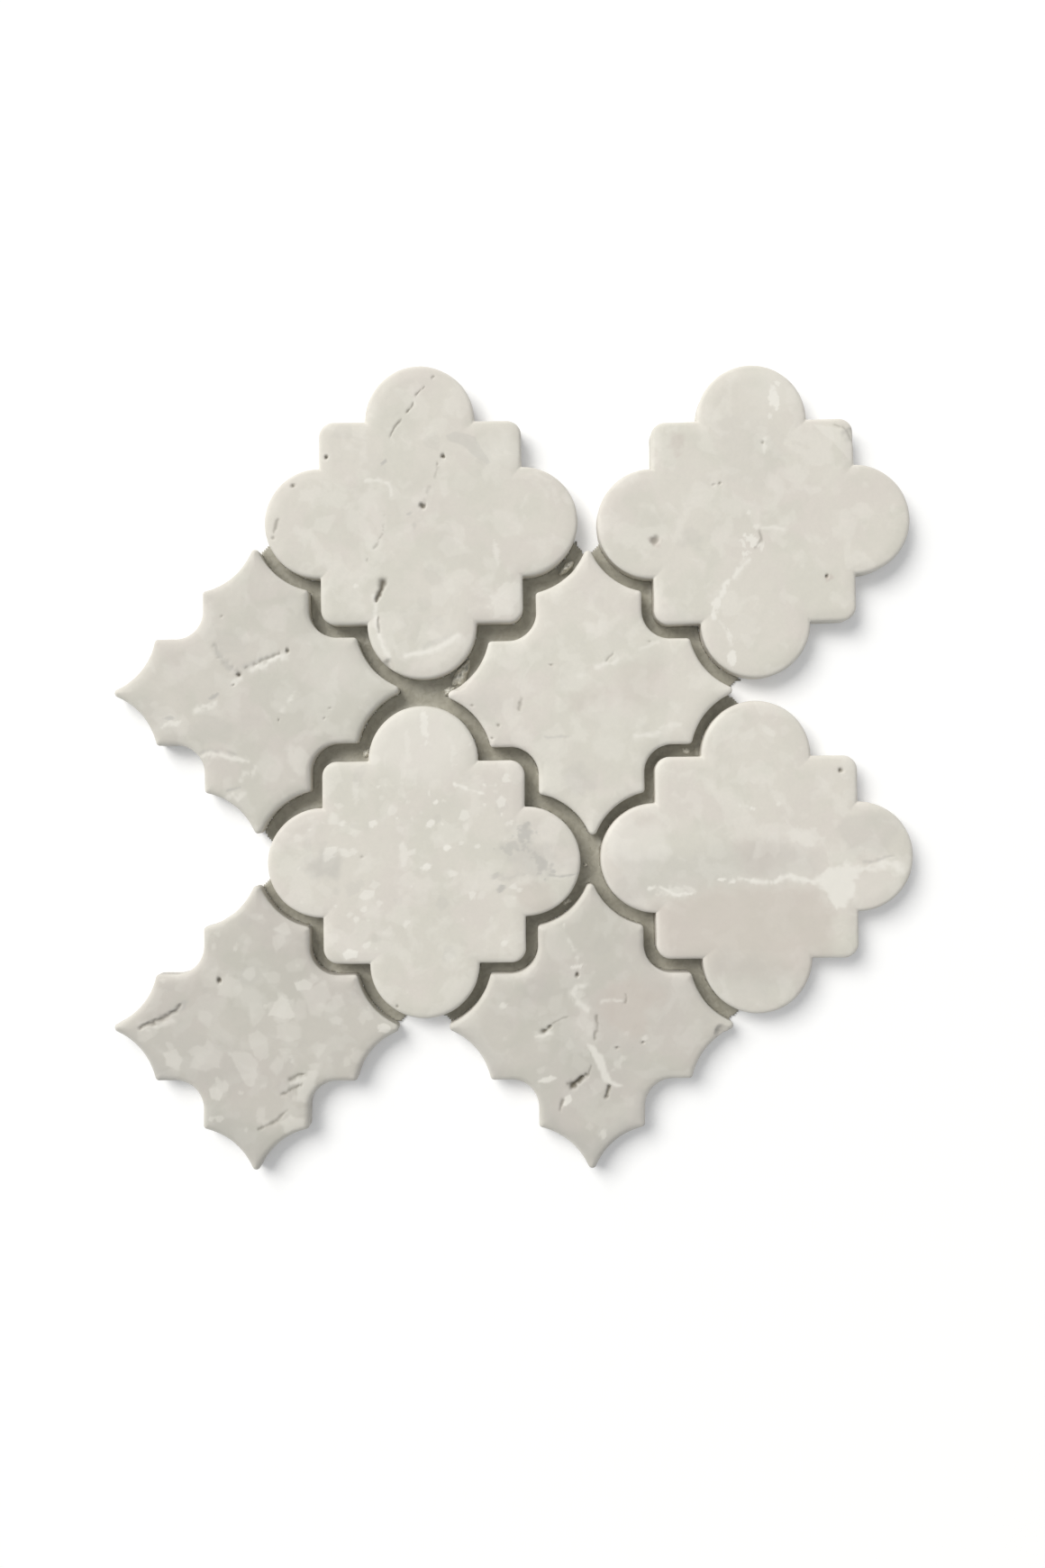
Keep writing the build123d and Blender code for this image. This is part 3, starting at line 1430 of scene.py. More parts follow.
@dataclass(frozen=True)
class Dab:
    """A dab of adhesive that has come up into a joint.

    Fields: its place in pixels, its half length and half width, its turn in degrees, its height, and its seed.
    """

    at: Pixel
    half_length: float = 2.0
    half_width: float = 1.5
    turn: float = 0.0
    height: float = 1.6
    seed: int = 1


@dataclass(frozen=True)
class AdhesiveSmears(Part):
    """The dabs of adhesive that show in the joints, on top of the net.

    Fields: the dabs; their finish; the level of their undersides; how uneven their plan and their top are; and
    how many points they have round and out from the middle.
    """

    dabs: tuple[Dab, ...]
    finish: DriedAdhesive
    foot: float = 0.3
    uneven: float = 0.35
    around: int = 32
    out: int = 9

    def dome(self, dab: Dab) -> tuple[Array, Array]:
        """One dab as a closed low dome.

        Its plan is an ellipse whose radius is broken by noise, and its height falls as the square root of
        1 less the square of the way out.

        Args:
            dab: the dab's sizes.

        Returns:
            Its vertices and its faces.
        """
        angle = np.linspace(0.0, 2 * math.pi, self.around, endpoint=False)
        ring = np.stack([np.cos(angle), np.sin(angle)], axis=1)
        ragged = 1 + self.uneven * smooth_noise(ring * 1.6 + dab.seed, 1.0, dab.seed)
        out = np.sin(np.linspace(0.0, math.pi / 2, self.out + 1)[1:])
        spread = out[:, None] * ragged
        turn = math.radians(dab.turn)
        along, across = spread * ring[:, 0] * dab.half_length, spread * ring[:, 1] * dab.half_width
        x = along * math.cos(turn) - across * math.sin(turn)
        y = along * math.sin(turn) + across * math.cos(turn)
        height = np.sqrt(np.maximum(1 - out**2, 0.0))[:, None] * dab.height
        flat = np.stack([x, y], axis=-1).reshape(-1, 2)
        lumps = 1 + self.uneven * smooth_noise(flat, 0.8, dab.seed + 5).reshape(x.shape)
        place = PHOTO.on_sheet([dab.at])[0]
        level = self.foot + height * lumps
        shell = np.column_stack([flat + place, level.ravel()])
        centre = np.array([[*place, self.foot + dab.height], [*place, self.foot]])
        vertices = np.concatenate([shell, centre])
        numbers, skin = tube(self.out, self.around)
        peak = np.full(self.around, len(shell))
        cap = np.stack([peak, numbers[0], np.roll(numbers[0], -1)], axis=1)
        base = np.stack([peak + 1, np.roll(numbers[-1], -1), numbers[-1]], axis=1)
        return vertices, np.concatenate([skin, cap, base])

    def build(self) -> Object:
        """Makes all the dabs as one piece.

        Returns:
            The piece.
        """
        vertices, faces = joined(self.dome(dab) for dab in self.dabs)
        return write_mesh("adhesive_smears", vertices, [faces])

    def dress(self, piece: Object) -> None:
        """Gives the dabs their finish and body.

        Args:
            piece: the part's object.
        """
        piece.data.materials.append(self.finish.material("adhesive_smears"))
        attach(piece, BODY)


@dataclass(frozen=True)
class AdhesiveFilm(Part):
    """The dried adhesive that fills the net's cells in the joints.

    Fields: the pieces and the layers of net that it lies between; its finish; the size of its cells; how far
    it goes in under the marble; beyond the net, the widest joint that it spans, and how squarely the joint's
    sides face each other; the levels of its underside and its top; how far the top wanders, the grain of that
    and its seed; and how far it climbs the marble's sides, and from how far off.
    """

    pieces: tuple[MarblePiece, ...]
    layers: tuple[NetLayer, ...]
    finish: DriedAdhesive
    cell: float = 0.7
    tuck: float = 0.8
    span: float = 7.0
    square_on: float = 0.8
    underside: float = 0.12
    level: float = 0.68
    wander: float = 0.06
    grain: float = 4.0
    seed: int = 77
    climb: float = 0.5
    climb_width: float = 0.6

    def inside_marble(self, points: Array, shape: type[Outline]) -> Array:
        """How far each point is inside the nearest piece of one shape, less than 0 outside it.

        Args:
            points: rows of x and y.
            shape: the pieces' shape.

        Returns:
            A depth for each point.
        """
        depths = [piece.outline.inside(piece.to_piece(points))
                  for piece in self.pieces if isinstance(piece.outline, shape)]
        return np.max(depths, axis=0)

    def facing(self, points: Array, step: float = 0.05) -> Array:
        """How squarely the nearest clover and star face each other across each point.

        The slopes of the two depths are multiplied: the result is 1 between parallel sides, and falls past a
        mouth, where the star's nearest place is the round of its tip.

        Args:
            points: rows of x and y.
            step: how far to each side the depths are read.

        Returns:
            A number from -1 to 1 for each point.
        """
        slopes = [[self.inside_marble(points + shift, shape) - self.inside_marble(points - shift, shape)
                   for shift in ((step, 0.0), (0.0, step))] for shape in (Clover, Star)]
        return -(np.array(slopes[0]) * slopes[1]).sum(axis=0) / (2 * step) ** 2

    def on_net(self, points: Array) -> Array:
        """Whether a strand of each layer passes within half a pitch of each point.

        Args:
            points: rows of x and y.

        Returns:
            True or false for each point.
        """
        held = np.ones(len(points), dtype=bool)
        for layer in self.layers:
            across, along = points[:, [1, 0] if layer.across else [0, 1]].T
            runs = layer.runs(layer.node, layer.across)
            beside = np.abs(across[:, None] - runs[:, 0]) <= layer.pitch / 2
            held &= (beside & (along[:, None] >= runs[:, 1]) & (along[:, None] <= runs[:, 2])).any(axis=1)
        return held

    def build(self) -> Object:
        """Makes the film: the cells of a square grid that lie on the net and not far under the marble.

        Its top is a level with noise, and rises as an exponential of the distance from the marble. Edges that
        only one cell uses get a side down to the underside.

        Returns:
            The film.
        """
        low, high = (np.array(corner)[:2] / METRES for corner in CAD_BOX)
        x, y = [np.arange(start, end, self.cell) for start, end in zip(low, high)]
        points = np.stack(np.meshgrid(x, y, indexing="ij"), axis=-1).reshape(-1, 2)
        clover, star = self.inside_marble(points, Clover), self.inside_marble(points, Star)
        depth = np.maximum(clover, star)
        between = (-clover - star < self.span) & (self.facing(points) > self.square_on)
        kept = ((depth < self.tuck) & (between | self.on_net(points))).reshape(len(x), len(y))
        cells = kept[:-1, :-1] & kept[1:, :-1] & kept[1:, 1:] & kept[:-1, 1:]
        numbers = np.arange(len(points)).reshape(len(x), len(y))
        quads = np.stack([numbers[:-1, :-1], numbers[1:, :-1], numbers[1:, 1:], numbers[:-1, 1:]], axis=-1)[cells]
        used, quads = np.unique(quads, return_inverse=True)
        quads = quads.reshape(-1, 4)
        points, depth, count = points[used], depth[used], len(used)
        top = self.level + self.wander * layered_noise(points, self.grain, self.seed)
        top += self.climb * np.exp(np.minimum(depth, 0.0) / self.climb_width)
        vertices = np.concatenate([np.column_stack([points, top]),
                                   np.column_stack([points, np.full(count, self.underside)])])
        edges = np.stack([quads, np.roll(quads, -1, axis=1)], axis=-1).reshape(-1, 2)
        forward, backward = edges[:, 0] * count + edges[:, 1], edges[:, 1] * count + edges[:, 0]
        start, end = edges[~np.isin(forward, backward)].T
        sides = np.stack([start, start + count, end + count, end], axis=1)
        return write_mesh("adhesive_film", vertices, [quads, quads[:, ::-1] + count, sides])

    def dress(self, piece: Object) -> None:
        """Gives the film its finish and body.

        Args:
            piece: the part's object.
        """
        piece.data.materials.append(self.finish.material("adhesive_film"))
        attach(piece, BODY)


@dataclass(frozen=True)
class SoftBox:
    """A square soft light that faces the sheet's middle.

    Fields: its name; its lean from straight up and its heading from the X axis, in degrees; its distance and
    side, in metres; its power in watts; and its colour.
    """

    name: str
    lean: float
    heading: float
    distance: float
    side: float
    power: float
    colour: Colour

    def hang(self) -> None:
        """Hangs the light."""
        lean, heading = math.radians(self.lean), math.radians(self.heading)
        light = bpy.data.lights.new(self.name, "AREA")
        light.shape = "SQUARE"
        light.size = self.side
        light.energy = self.power
        light.color = self.colour
        box = bpy.data.objects.new(self.name, light)
        bpy.context.scene.collection.objects.link(box)
        box.location = [self.distance * part for part in (
            math.sin(lean) * math.cos(heading), math.sin(lean) * math.sin(heading), math.cos(lean))]
        box.rotation_euler = (0.0, lean, heading)


@dataclass
class Studio:
    """The white floor, the lights and the camera.

    Fields: the floor's half side and its drop below the sheet, in metres; the key light; the sky's strength
    and colour; the camera's height over the finished face in metres; and its sensor's long side in
    millimetres.
    """

    floor_half_side: float = 3.0
    floor_drop: float = 0.00005
    key: SoftBox = SoftBox("studio_key", 42.0, 135.0, 20.0, 12.0, 3800.0, (1.0, 0.985, 0.955))
    sky: float = 0.37
    sky_colour: Colour = (0.96, 0.98, 1.0)
    camera_height: float = 0.545
    sensor: float = 36.0

    def build(self) -> None:
        """Makes the studio."""
        self.floor()
        self.world()
        self.key.hang()
        self.camera()
        bpy.context.scene.view_settings.view_transform = "Standard"

    def floor(self) -> None:
        """Lays the floor, a square just under the sheet."""
        side = self.floor_half_side
        corners = np.array([[-side, -side], [side, -side], [side, side], [-side, side]])
        level = np.full((4, 1), CAD_BOX[0][2] - self.floor_drop)
        floor = write_mesh("studio_floor", np.hstack([corners, level]) / METRES, [np.array([[0, 1, 2, 3]])])
        floor.data.materials.append(StudioWhite().material("studio_floor_white"))

    def world(self) -> None:
        """Lights everything evenly, and shows white where the camera or a reflection sees past the floor."""
        world = bpy.data.worlds.new("studio_sky")
        world.use_nodes = True
        bpy.context.scene.world = world
        tree = world.node_tree
        tree.nodes.clear()
        path = tree.nodes.new("ShaderNodeLightPath")
        seen = tree.nodes.new("ShaderNodeMath")
        seen.operation = "MAXIMUM"
        tree.links.new(path.outputs["Is Camera Ray"], seen.inputs[0])
        tree.links.new(path.outputs["Is Glossy Ray"], seen.inputs[1])
        light = tree.nodes.new("ShaderNodeBackground")
        light.inputs["Color"].default_value = (*self.sky_colour, 1.0)
        light.inputs["Strength"].default_value = self.sky
        white = tree.nodes.new("ShaderNodeBackground")
        white.inputs["Strength"].default_value = 1.0
        choice = tree.nodes.new("ShaderNodeMixShader")
        tree.links.new(seen.outputs[0], choice.inputs[0])
        tree.links.new(light.outputs[0], choice.inputs[1])
        tree.links.new(white.outputs[0], choice.inputs[2])
        output = tree.nodes.new("ShaderNodeOutputWorld")
        tree.links.new(choice.outputs[0], output.inputs["Surface"])

    def camera(self) -> None:
        """Looks straight down, with the photograph's height over its millimetres of the face."""
        data = bpy.data.cameras.new("studio_camera")
        camera = bpy.data.objects.new("studio_camera", data)
        bpy.context.scene.collection.objects.link(camera)
        x, y = PHOTO.on_sheet([(PHOTO.width / 2, PHOTO.height / 2)])[0] * METRES
        camera.location = (x, y, CAD_BOX[1][2] + self.camera_height)
        data.sensor_width = self.sensor
        data.lens = self.sensor * self.camera_height / (PHOTO.height * PHOTO.millimetres * METRES)
        bpy.context.scene.camera = camera


def marble(node: str, outline: Outline, turn: float, seed: int, worn: float, finish: TumbledMarble,
           marks: tuple[Mark, ...]) -> MarblePiece:
    """A piece of marble.

    Args:
        node: the CAD node that it stands for.
        outline: its plan.
        turn: its turn, in degrees.
        seed: picks its wear.
        worn: how many times as wide and high as usual its rim is worn.
        finish: its marble.
        marks: its own marks.

    Returns:
        The piece.
    """
    wear = Wear(width=Wear.width * worn, height=Wear.height * worn, seed=seed)
    return MarblePiece(node, outline, turn, finish, wear, marks)


def speck(name: str, at: Pixel, radius: float = 1.0, strength: float = 0.75) -> Patch:
    """A small light fleck of calcite."""
    return Patch(name, at, 1.4 * radius, radius, 30.0, LIGHT, strength, 0.35, 0.2, int(at[0]))


def light_vein(name: str, path: tuple[Pixel, ...], half_width: float = 0.7, strength: float = 0.8,
               missing: float = 0.1, seed: int = 1, ragged: float = 0.45) -> Line:
    """A vein of lighter calcite, with ragged edges."""
    return Line(name, path, half_width, 0.0, LIGHT, strength, missing, 0.6, ragged, 0.0, seed)


CLOVER_TOP_LEFT = marble("clover_top_left", Clover(), 0.7, 101, 1.0, TumbledMarble(
    1.025, shift=(0.31, 0.12, 0.05), turn=0.4), (
    Line("dashed_fissure", ((481, 417), (464, 437), (456, 452), (446, 466), (440, 474), (432, 484)), 0.27, 0.3,
        strength=0.7, missing=0.4, seed=2),
    Line("fissure_end", ((426, 571), (425, 588), (423, 593), (406, 624)), 0.3, 0.1, strength=0.35, missing=0.45,
        seed=3),
    Patch("fissure_smudge", (426, 513), 1.8, 0.8, 45.0, COOL_AND_SHADE, 0.6, 0.3, 0.3),
    Pit("upper_left_pit", (362, 507), 0.75),
    Pit("left_pit", (325, 539), 0.8, 0.8, 0.7),
    Pit("upper_pit", (492, 506), 0.75),
    Pit("upper_pit_beside", (486, 515), 0.45, 0.5, 0.35),
    Pit("middle_pit", (469, 561), 1.05),
    Line("pit_thread", ((486, 515), (480, 530), (474, 548), (469, 561)), 0.4, strength=0.2, missing=0.55, seed=4),
    Patch("pit_smudge", (454, 570), 1.4, 0.7, 20.0, COOL_AND_SHADE, 0.5, 0.3, 0.3),
    Patch("pit_smudge_below", (460, 583), 0.8, 1.5, 0.0, COOL_AND_SHADE, 0.25, 0.3, 0.3),
    Line("left_streak", ((309, 577), (305, 590)), 0.5, 0.2, strength=0.5, seed=5),
    Pit("left_dot", (303, 597), 0.55, 0.4, 0.4),
    Line("wide_slit", ((425, 646), (422, 655), (418, 667)), 1.05, 1.0, strength=0.95, stray=0.3, taper=0.6, seed=6),
    Line("thin_slit", ((420, 684), (421, 702)), 0.4, 0.3, strength=0.5, missing=0.1, seed=8),
    light_vein("slit_edge", ((414, 660), (417, 670), (418, 690), (423, 710), (431, 732)), 0.95, 0.7, 0.05, 9),
    light_vein("white_crescent", ((450, 727), (470, 724), (488, 718), (508, 705)), 1.15, 0.85, 0.0, 10, 0.3),
    Patch("crescent_shade", (482, 713), 6.5, 1.4, 20.0, COOL_AND_SHADE, 0.25, 0.4, 0.4),
    Chip("lower_chip", (431, 739), 2.6, 1.5, 0.2),
    Field("grey_cloud", ((494, 483), (505, 479), (528, 484), (531, 492), (545, 514), (540, 516), (526, 506), (514,
        494), (498, 489)), COOL_AND_SHADE, 0.27, 0.3, 0.25),
    light_vein("light_streak", ((406, 534), (419, 533), (432, 537), (435, 550)), 0.6, 0.6, 0.1, 11, 0.4),
    Field("pale_corner", ((546, 664), (560, 650), (578, 646), (581, 668), (565, 680), (549, 684)), LIGHT, 0.4, 2.2,
        0.4),
    light_vein("corner_vein", ((542, 672), (552, 664), (563, 655), (573, 645)), 1.1, 0.5, 0.15, 12, 0.6),
    Patch("pale_top", (560, 495), 8.0, 7.0, 0.0, LIGHT, 0.3, 0.5, 0.4),
    Patch("pale_sliver", (551, 612), 1.2, 4.6, 8.0, LIGHT, 0.5, 0.5, 0.15),
    Patch("green_spot", (486, 690), 2.6, 2.2, 0.0, COOL_AND_SHADE, 0.16, 0.4, 0.3),
    speck("low_left_speck", (395, 650), 0.9, 0.6),
    Fragments("pale_fragments", (467, 580), (48.0, 48.0), 40, 1.6, 6.5, LIGHT, 0.2, 0.1, 43),
    Fragments("grey_fragments", (467, 580), (48.0, 48.0), 16, 2.0, 6.0, COOL_AND_SHADE, 0.11, 0.12, 47),
))

CLOVER_TOP_RIGHT = marble("clover_top_right", Clover(), 1.2, 131, 1.0, TumbledMarble(
    1.045, shift=(0.72, 0.45, 0.11), turn=1.9), (
    Patch("bright_vein", (859, 441), 2.1, 4.8, 8.0, LIGHT, 0.9, 0.38, 0.14),
    Patch("bright_vein_top", (863, 425), 1.0, 1.5, 20.0, LIGHT, 0.8, 0.5, 0.15),
    Patch("bright_vein_foot", (855, 462), 0.9, 1.4, 0.0, LIGHT, 0.6, 0.5, 0.15),
    light_vein("vein_specks", ((850, 487), (849, 503)), 0.8, 0.6, 0.2, 3),
    Pit("vein_pit", (847, 491), 0.5, 0.5, 0.45),
    Patch("crackle_top", (831, 568), 0.9, 1.3, 0.0, LIGHT, 0.6, 0.5, 0.15),
    Patch("crackle", (835, 599), 2.1, 3.0, 20.0, LIGHT, 0.75, 1.2, 0.15),
    Patch("crackle_left", (825, 603), 1.0, 1.6, 30.0, LIGHT, 0.6, 0.9, 0.15, 27),
    Patch("crackle_right", (846, 606), 0.8, 1.9, -10.0, LIGHT, 0.6, 0.9, 0.15, 29),
    Patch("crackle_upper", (840, 584), 1.2, 0.9, 20.0, LIGHT, 0.55, 0.8, 0.15, 31),
    Patch("crackle_foot", (828, 614), 1.5, 0.9, 20.0, LIGHT, 0.7, 0.7, 0.12),
    light_vein("crackle_arm", ((846, 587), (858, 585), (870, 589)), 0.6, 0.5, 0.2, 4),
    Line("crackle_shade", ((843, 588), (845, 597), (839, 608)), 0.45, strength=0.4, missing=0.3, seed=5),
    light_vein("winding_vein", ((829, 622), (820, 633), (810, 645), (802, 658), (796, 668), (792, 684)), 1.05, 0.8,
        0.0, 6, 0.8),
    Patch("vein_heart", (796, 668), 2.8, 1.6, 60.0, LIGHT, 0.75, 0.8, 0.15),
    Patch("vein_middle", (809, 706), 1.4, 2.6, 20.0, LIGHT, 0.7, 0.8, 0.15),
    Patch("vein_foot", (813, 730), 1.8, 2.9, 0.0, LIGHT, 0.85, 0.6, 0.14),
    light_vein("vein_link", ((797, 688), (806, 700), (811, 716)), 0.5, 0.4, 0.2, 7),
    Pit("brown_hollow", (727, 600), 1.7, 0.6, 0.55),
    Patch("brown_halo", (727, 600), 2.8, 2.4, 0.0, WARM, 0.6),
    Pit("lower_right_pit", (918, 639), 0.7, 0.9, 0.8),
    Patch("lower_right_stain", (920, 641), 2.2, 1.4, 20.0, WARM, 0.7, 0.4, 0.3),
    Pit("faint_pit", (799, 536), 0.55, 0.4, 0.45),
    Pit("faint_pit_beside", (792, 538), 0.45, 0.4, 0.3),
    Patch("left_hollow", (768, 598), 5.5, 4.5, 0.0, COOL_AND_SHADE, 0.16, 0.6, 0.3),
    Field("pale_flake", ((903, 470), (952, 477), (954, 521), (938, 506), (925, 489), (912, 480)), LIGHT, 0.34, 0.5,
        0.3),
    Chip("flaked_corner", (947, 484), 4.5, 0.8, 0.1),
    Line("flake_crack", ((925, 470), (937, 474), (946, 488)), 0.35, 0.15, strength=0.3, missing=0.3, seed=7),
    Patch("brown_corner", (750, 492), 3.0, 5.0, 0.0, WARM, 0.45, 0.5, 0.35),
    Patch("pale_lobe", (857, 422), 14.0, 9.0, 0.0, LIGHT, 0.26, 0.4, 0.45),
    Field("grey_middle", ((795, 470), (835, 455), (862, 475), (866, 520), (842, 545), (806, 530)), COOL_AND_SHADE, 0.1, 2.0,
        3.0),
    Fragments("pale_fragments", (837, 580), (48.0, 48.0), 30, 1.8, 7.0, LIGHT, 0.15, 0.14, 53),
    Fragments("grey_fragments", (837, 580), (48.0, 48.0), 12, 2.5, 7.0, COOL_AND_SHADE, 0.08, 0.2, 59),
))

CLOVER_MIDDLE_LEFT = marble("clover_middle_left", Clover(), 0.5, 157, 1.0, TumbledMarble(
    1.035, shift=(0.15, 0.83, 0.21), turn=2.7), (
    Line("smudge", ((581, 922), (584, 936), (592, 950), (600, 960), (609, 970)), 1.5, 0.0, COOL_AND_SHADE, 0.32, 0.3, 1.4, 0.5,
        seed=3),
    Line("smudge_arm", ((557, 941), (569, 937), (584, 936)), 1.5, 0.0, COOL_AND_SHADE, 0.26, 0.3, 1.4, 0.6, seed=4),
    Line("smudge_foot", ((600, 966), (584, 971), (566, 974), (545, 973)), 1.0, 0.0, COOL_AND_SHADE, 0.25, 0.3, 1.4, 0.6,
        seed=5),
    Line("smudge_thread", ((609, 971), (622, 973), (642, 969)), 0.42, 0.1, COOL_AND_SHADE, 0.65, 0.05, 0.6, 0.3, seed=6),
    Patch("smudge_knot", (583, 928), 4.4, 3.0, 60.0, COOL_AND_SHADE, 0.62, 1.1, 0.4),
    Patch("smudge_knot_below", (600, 957), 5.2, 2.8, -50.0, COOL_AND_SHADE, 0.6, 1.1, 0.4, 23),
    Patch("smudge_knot_left", (567, 940), 4.0, 2.6, 10.0, COOL_AND_SHADE, 0.45, 1.1, 0.4, 25),
    Patch("smudge_haze", (590, 948), 14.0, 10.0, -50.0, COOL_AND_SHADE, 0.33, 0.6, 0.5),
    Patch("lower_smudge", (549, 972), 2.2, 1.4, 0.0, COOL_AND_SHADE, 0.4, 0.6, 0.3),
    Patch("lower_smudge_below", (556, 986), 1.9, 1.5, 40.0, COOL_AND_SHADE, 0.6, 0.4, 0.3),
    Patch("pink_lobe", (596, 995), 9.0, 6.5, -30.0, WARM, 0.4, 0.4, 0.3),
    Field("grey_left", ((344, 950), (356, 946), (372, 948), (381, 960), (374, 976), (352, 977), (338, 965)), COOL_AND_SHADE,
        0.36, 2.4, 2.2),
    speck("left_fleck", (364, 950), 2.1, 0.5),
    speck("left_upper_fleck", (380, 914), 1.1),
    speck("upper_fleck", (414, 914), 1.5),
    speck("upper_fleck_beside", (436, 899), 1.8, 0.45),
    Field("cross_fleck", ((441, 937), (449, 936), (452, 944), (463, 942), (462, 948), (453, 950), (451, 962), (445,
        962)), LIGHT, 0.5, 0.8, 0.3),
    speck("middle_fleck", (473, 962), 1.5, 0.85),
    speck("middle_upper_fleck", (478, 914), 1.5),
    speck("middle_right_fleck", (496, 941), 1.3, 0.85),
    speck("high_fleck", (484, 890), 0.9, 0.8),
    speck("right_fleck", (530, 939), 1.0, 0.6),
    light_vein("light_dashes", ((504, 871), (520, 876), (536, 880)), 0.55, 0.8, 0.3, 9),
    light_vein("light_dashes_end", ((538, 871), (556, 872)), 0.5, 0.6, 0.3, 10),
    Field("lower_fleck", ((399, 995), (404, 988), (416, 988), (415, 995), (404, 999)), LIGHT, 0.6, 0.6, 0.25),
    speck("lower_fleck_below", (404, 1009), 1.2, 0.6),
    Field("bottom_fleck", ((380, 1058), (386, 1053), (398, 1056), (395, 1063), (383, 1065)), LIGHT, 0.95, 0.5, 0.2),
    speck("bottom_fleck_beside", (407, 1049), 1.3, 0.6),
    speck("bottom_right_fleck", (560, 1047), 1.3, 0.7),
    speck("right_low_fleck", (577, 988), 0.9, 0.5),
    Patch("pale_top", (471, 806), 2.0, 6.5, 0.0, LIGHT, 0.8, 0.6, 0.25),
    Patch("pale_top_beside", (487, 812), 2.6, 6.0, 10.0, LIGHT, 0.35, 0.5, 0.25),
    Patch("pale_neck", (447, 850), 1.8, 7.5, 0.0, LIGHT, 0.4, 0.5, 0.25),
    Patch("pale_shoulder", (394, 878), 1.6, 5.0, 0.0, LIGHT, 0.35, 0.5, 0.25),
    Patch("bright_lobe", (470, 815), 25.0, 16.0, 0.0, LIGHT, 0.34, 0.35, 0.5),
    Patch("lobe_streak", (452, 826), 1.3, 8.0, 0.0, LIGHT, 0.55, 0.7, 0.3, 33),
    Patch("lobe_streak_right", (503, 832), 1.5, 6.5, 0.0, LIGHT, 0.5, 0.7, 0.3, 35),
    Patch("lobe_streak_left", (428, 838), 1.2, 5.0, 0.0, LIGHT, 0.4, 0.7, 0.3, 37),
    Pit("bottom_dot", (441, 1117), 0.45, 0.5, 0.6),
    Pit("left_dot", (402, 951), 0.6, 0.3, 0.35),
    Fragments("pale_fragments", (450, 940), (42.0, 42.0), 84, 0.6, 3.1, LIGHT, 0.62, 0.2, 61),
    Fragments("pale_plates", (450, 955), (48.0, 44.0), 18, 2.0, 5.0, LIGHT, 0.2, 0.12, 63),
    Fragments("grey_fragments", (440, 950), (42.0, 42.0), 20, 1.6, 4.0, COOL_AND_SHADE, 0.16, 0.2, 67),
))

CLOVER_MIDDLE_RIGHT = marble("clover_middle_right", Clover(), 0.5, 173, 1.0, TumbledMarble(
    1.045, shift=(0.55, 0.27, 0.33), turn=4.1), (
    Pit("upper_right_pit", (933, 855), 0.9, 1.0, 0.8),
    light_vein("white_vein_left", ((721, 985), (733, 985), (741, 990), (752, 993), (766, 991)), 1.0, 0.8, 0.05, 2,
        0.8),
    Patch("vein_cloud", (752, 988), 8.0, 2.0, 0.0, LIGHT, 0.4, 0.7, 0.3),
    Patch("vein_bead", (801, 976), 1.6, 1.0, 0.0, LIGHT, 0.8, 0.5, 0.15),
    light_vein("white_vein_middle", ((812, 978), (822, 975), (838, 978), (860, 979), (868, 973), (878, 972)), 0.75,
        0.85, 0.1, 3),
    light_vein("white_vein_right", ((878, 972), (889, 976), (904, 979), (914, 976)), 1.2, 0.85, 0.0, 4),
    Field("white_patch", ((906, 977), (918, 964), (934, 963), (942, 957), (952, 962), (956, 975), (948, 984), (941,
        1003), (926, 1004), (919, 991), (909, 984)), LIGHT, 0.74, 2.6, 0.9),
    light_vein("vein_end", ((946, 966), (960, 963), (972, 964), (984, 958), (994, 959), (1001, 967)), 1.5, 0.75, 0.0,
        5, 0.8),
    Field("pale_lobe", ((948, 972), (1000, 968), (1009, 985), (990, 1001), (960, 1010), (944, 1004)), LIGHT, 0.16,
        1.8, 1.2),
    Line("vein_shade", ((958, 957), (970, 957), (981, 952), (992, 952)), 0.45, 0.1, COOL_AND_SHADE, 0.4, 0.3, 1.0, 0.5, seed=6),
    Field("pale_upper", ((876, 922), (886, 917), (905, 922), (914, 932), (904, 941), (888, 938), (880, 932)), LIGHT,
        0.36, 1.8, 0.6),
    Patch("pale_left", (706, 930), 13.0, 9.0, 0.0, LIGHT, 0.36, 0.6, 0.35),
    Patch("pale_top", (853, 812), 3.0, 2.4, -20.0, LIGHT, 0.4, 0.6, 0.25),
    Patch("pale_top_left", (828, 818), 6.0, 2.4, 20.0, LIGHT, 0.25, 0.6, 0.25),
    Field("pink_field", ((727, 1002), (760, 996), (786, 984), (850, 982), (890, 981), (912, 986), (923, 1005), (929,
        1036), (925, 1066), (890, 1084), (800, 1086), (740, 1066), (729, 1040)), WARM, 0.44, 2.2, 4.0),
    Field("pink_core", ((729, 1006), (760, 999), (790, 990), (850, 986), (890, 985), (912, 990), (922, 1008), (926,
        1034), (912, 1054), (860, 1062), (740, 1056)), WARM, 0.54, 1.8, 2.4),
    Field("grey_band", ((684, 948), (720, 944), (760, 950), (800, 938), (870, 934), (905, 950), (908, 972), (880,
        974), (860, 982), (830, 980), (790, 984), (760, 994), (700, 992)), COOL_AND_SHADE, 0.22, 1.6, 4.4),
    Patch("pink_spot", (838, 950), 9.0, 7.0, 0.0, WARM, 0.34, 0.5, 0.5),
    Patch("green_lobe", (965, 925), 13.0, 9.0, 10.0, COOL_AND_SHADE, 0.17, 0.3, 0.2),
    Patch("green_foot", (840, 1088), 22.0, 12.0, 0.0, COOL_AND_SHADE, 0.22, 0.4, 0.5),
    Patch("grey_left", (706, 985), 11.0, 7.0, 0.0, COOL_AND_SHADE, 0.22, 0.5, 0.4),
    light_vein("upper_dash", ((822, 893), (838, 897)), 0.5, 0.8, 0.0, 7),
    speck("upper_speck", (864, 892), 0.8, 0.6),
    Fragments("pale_fragments", (840, 890), (48.0, 30.0), 28, 1.8, 6.5, LIGHT, 0.17, 0.14, 71),
))

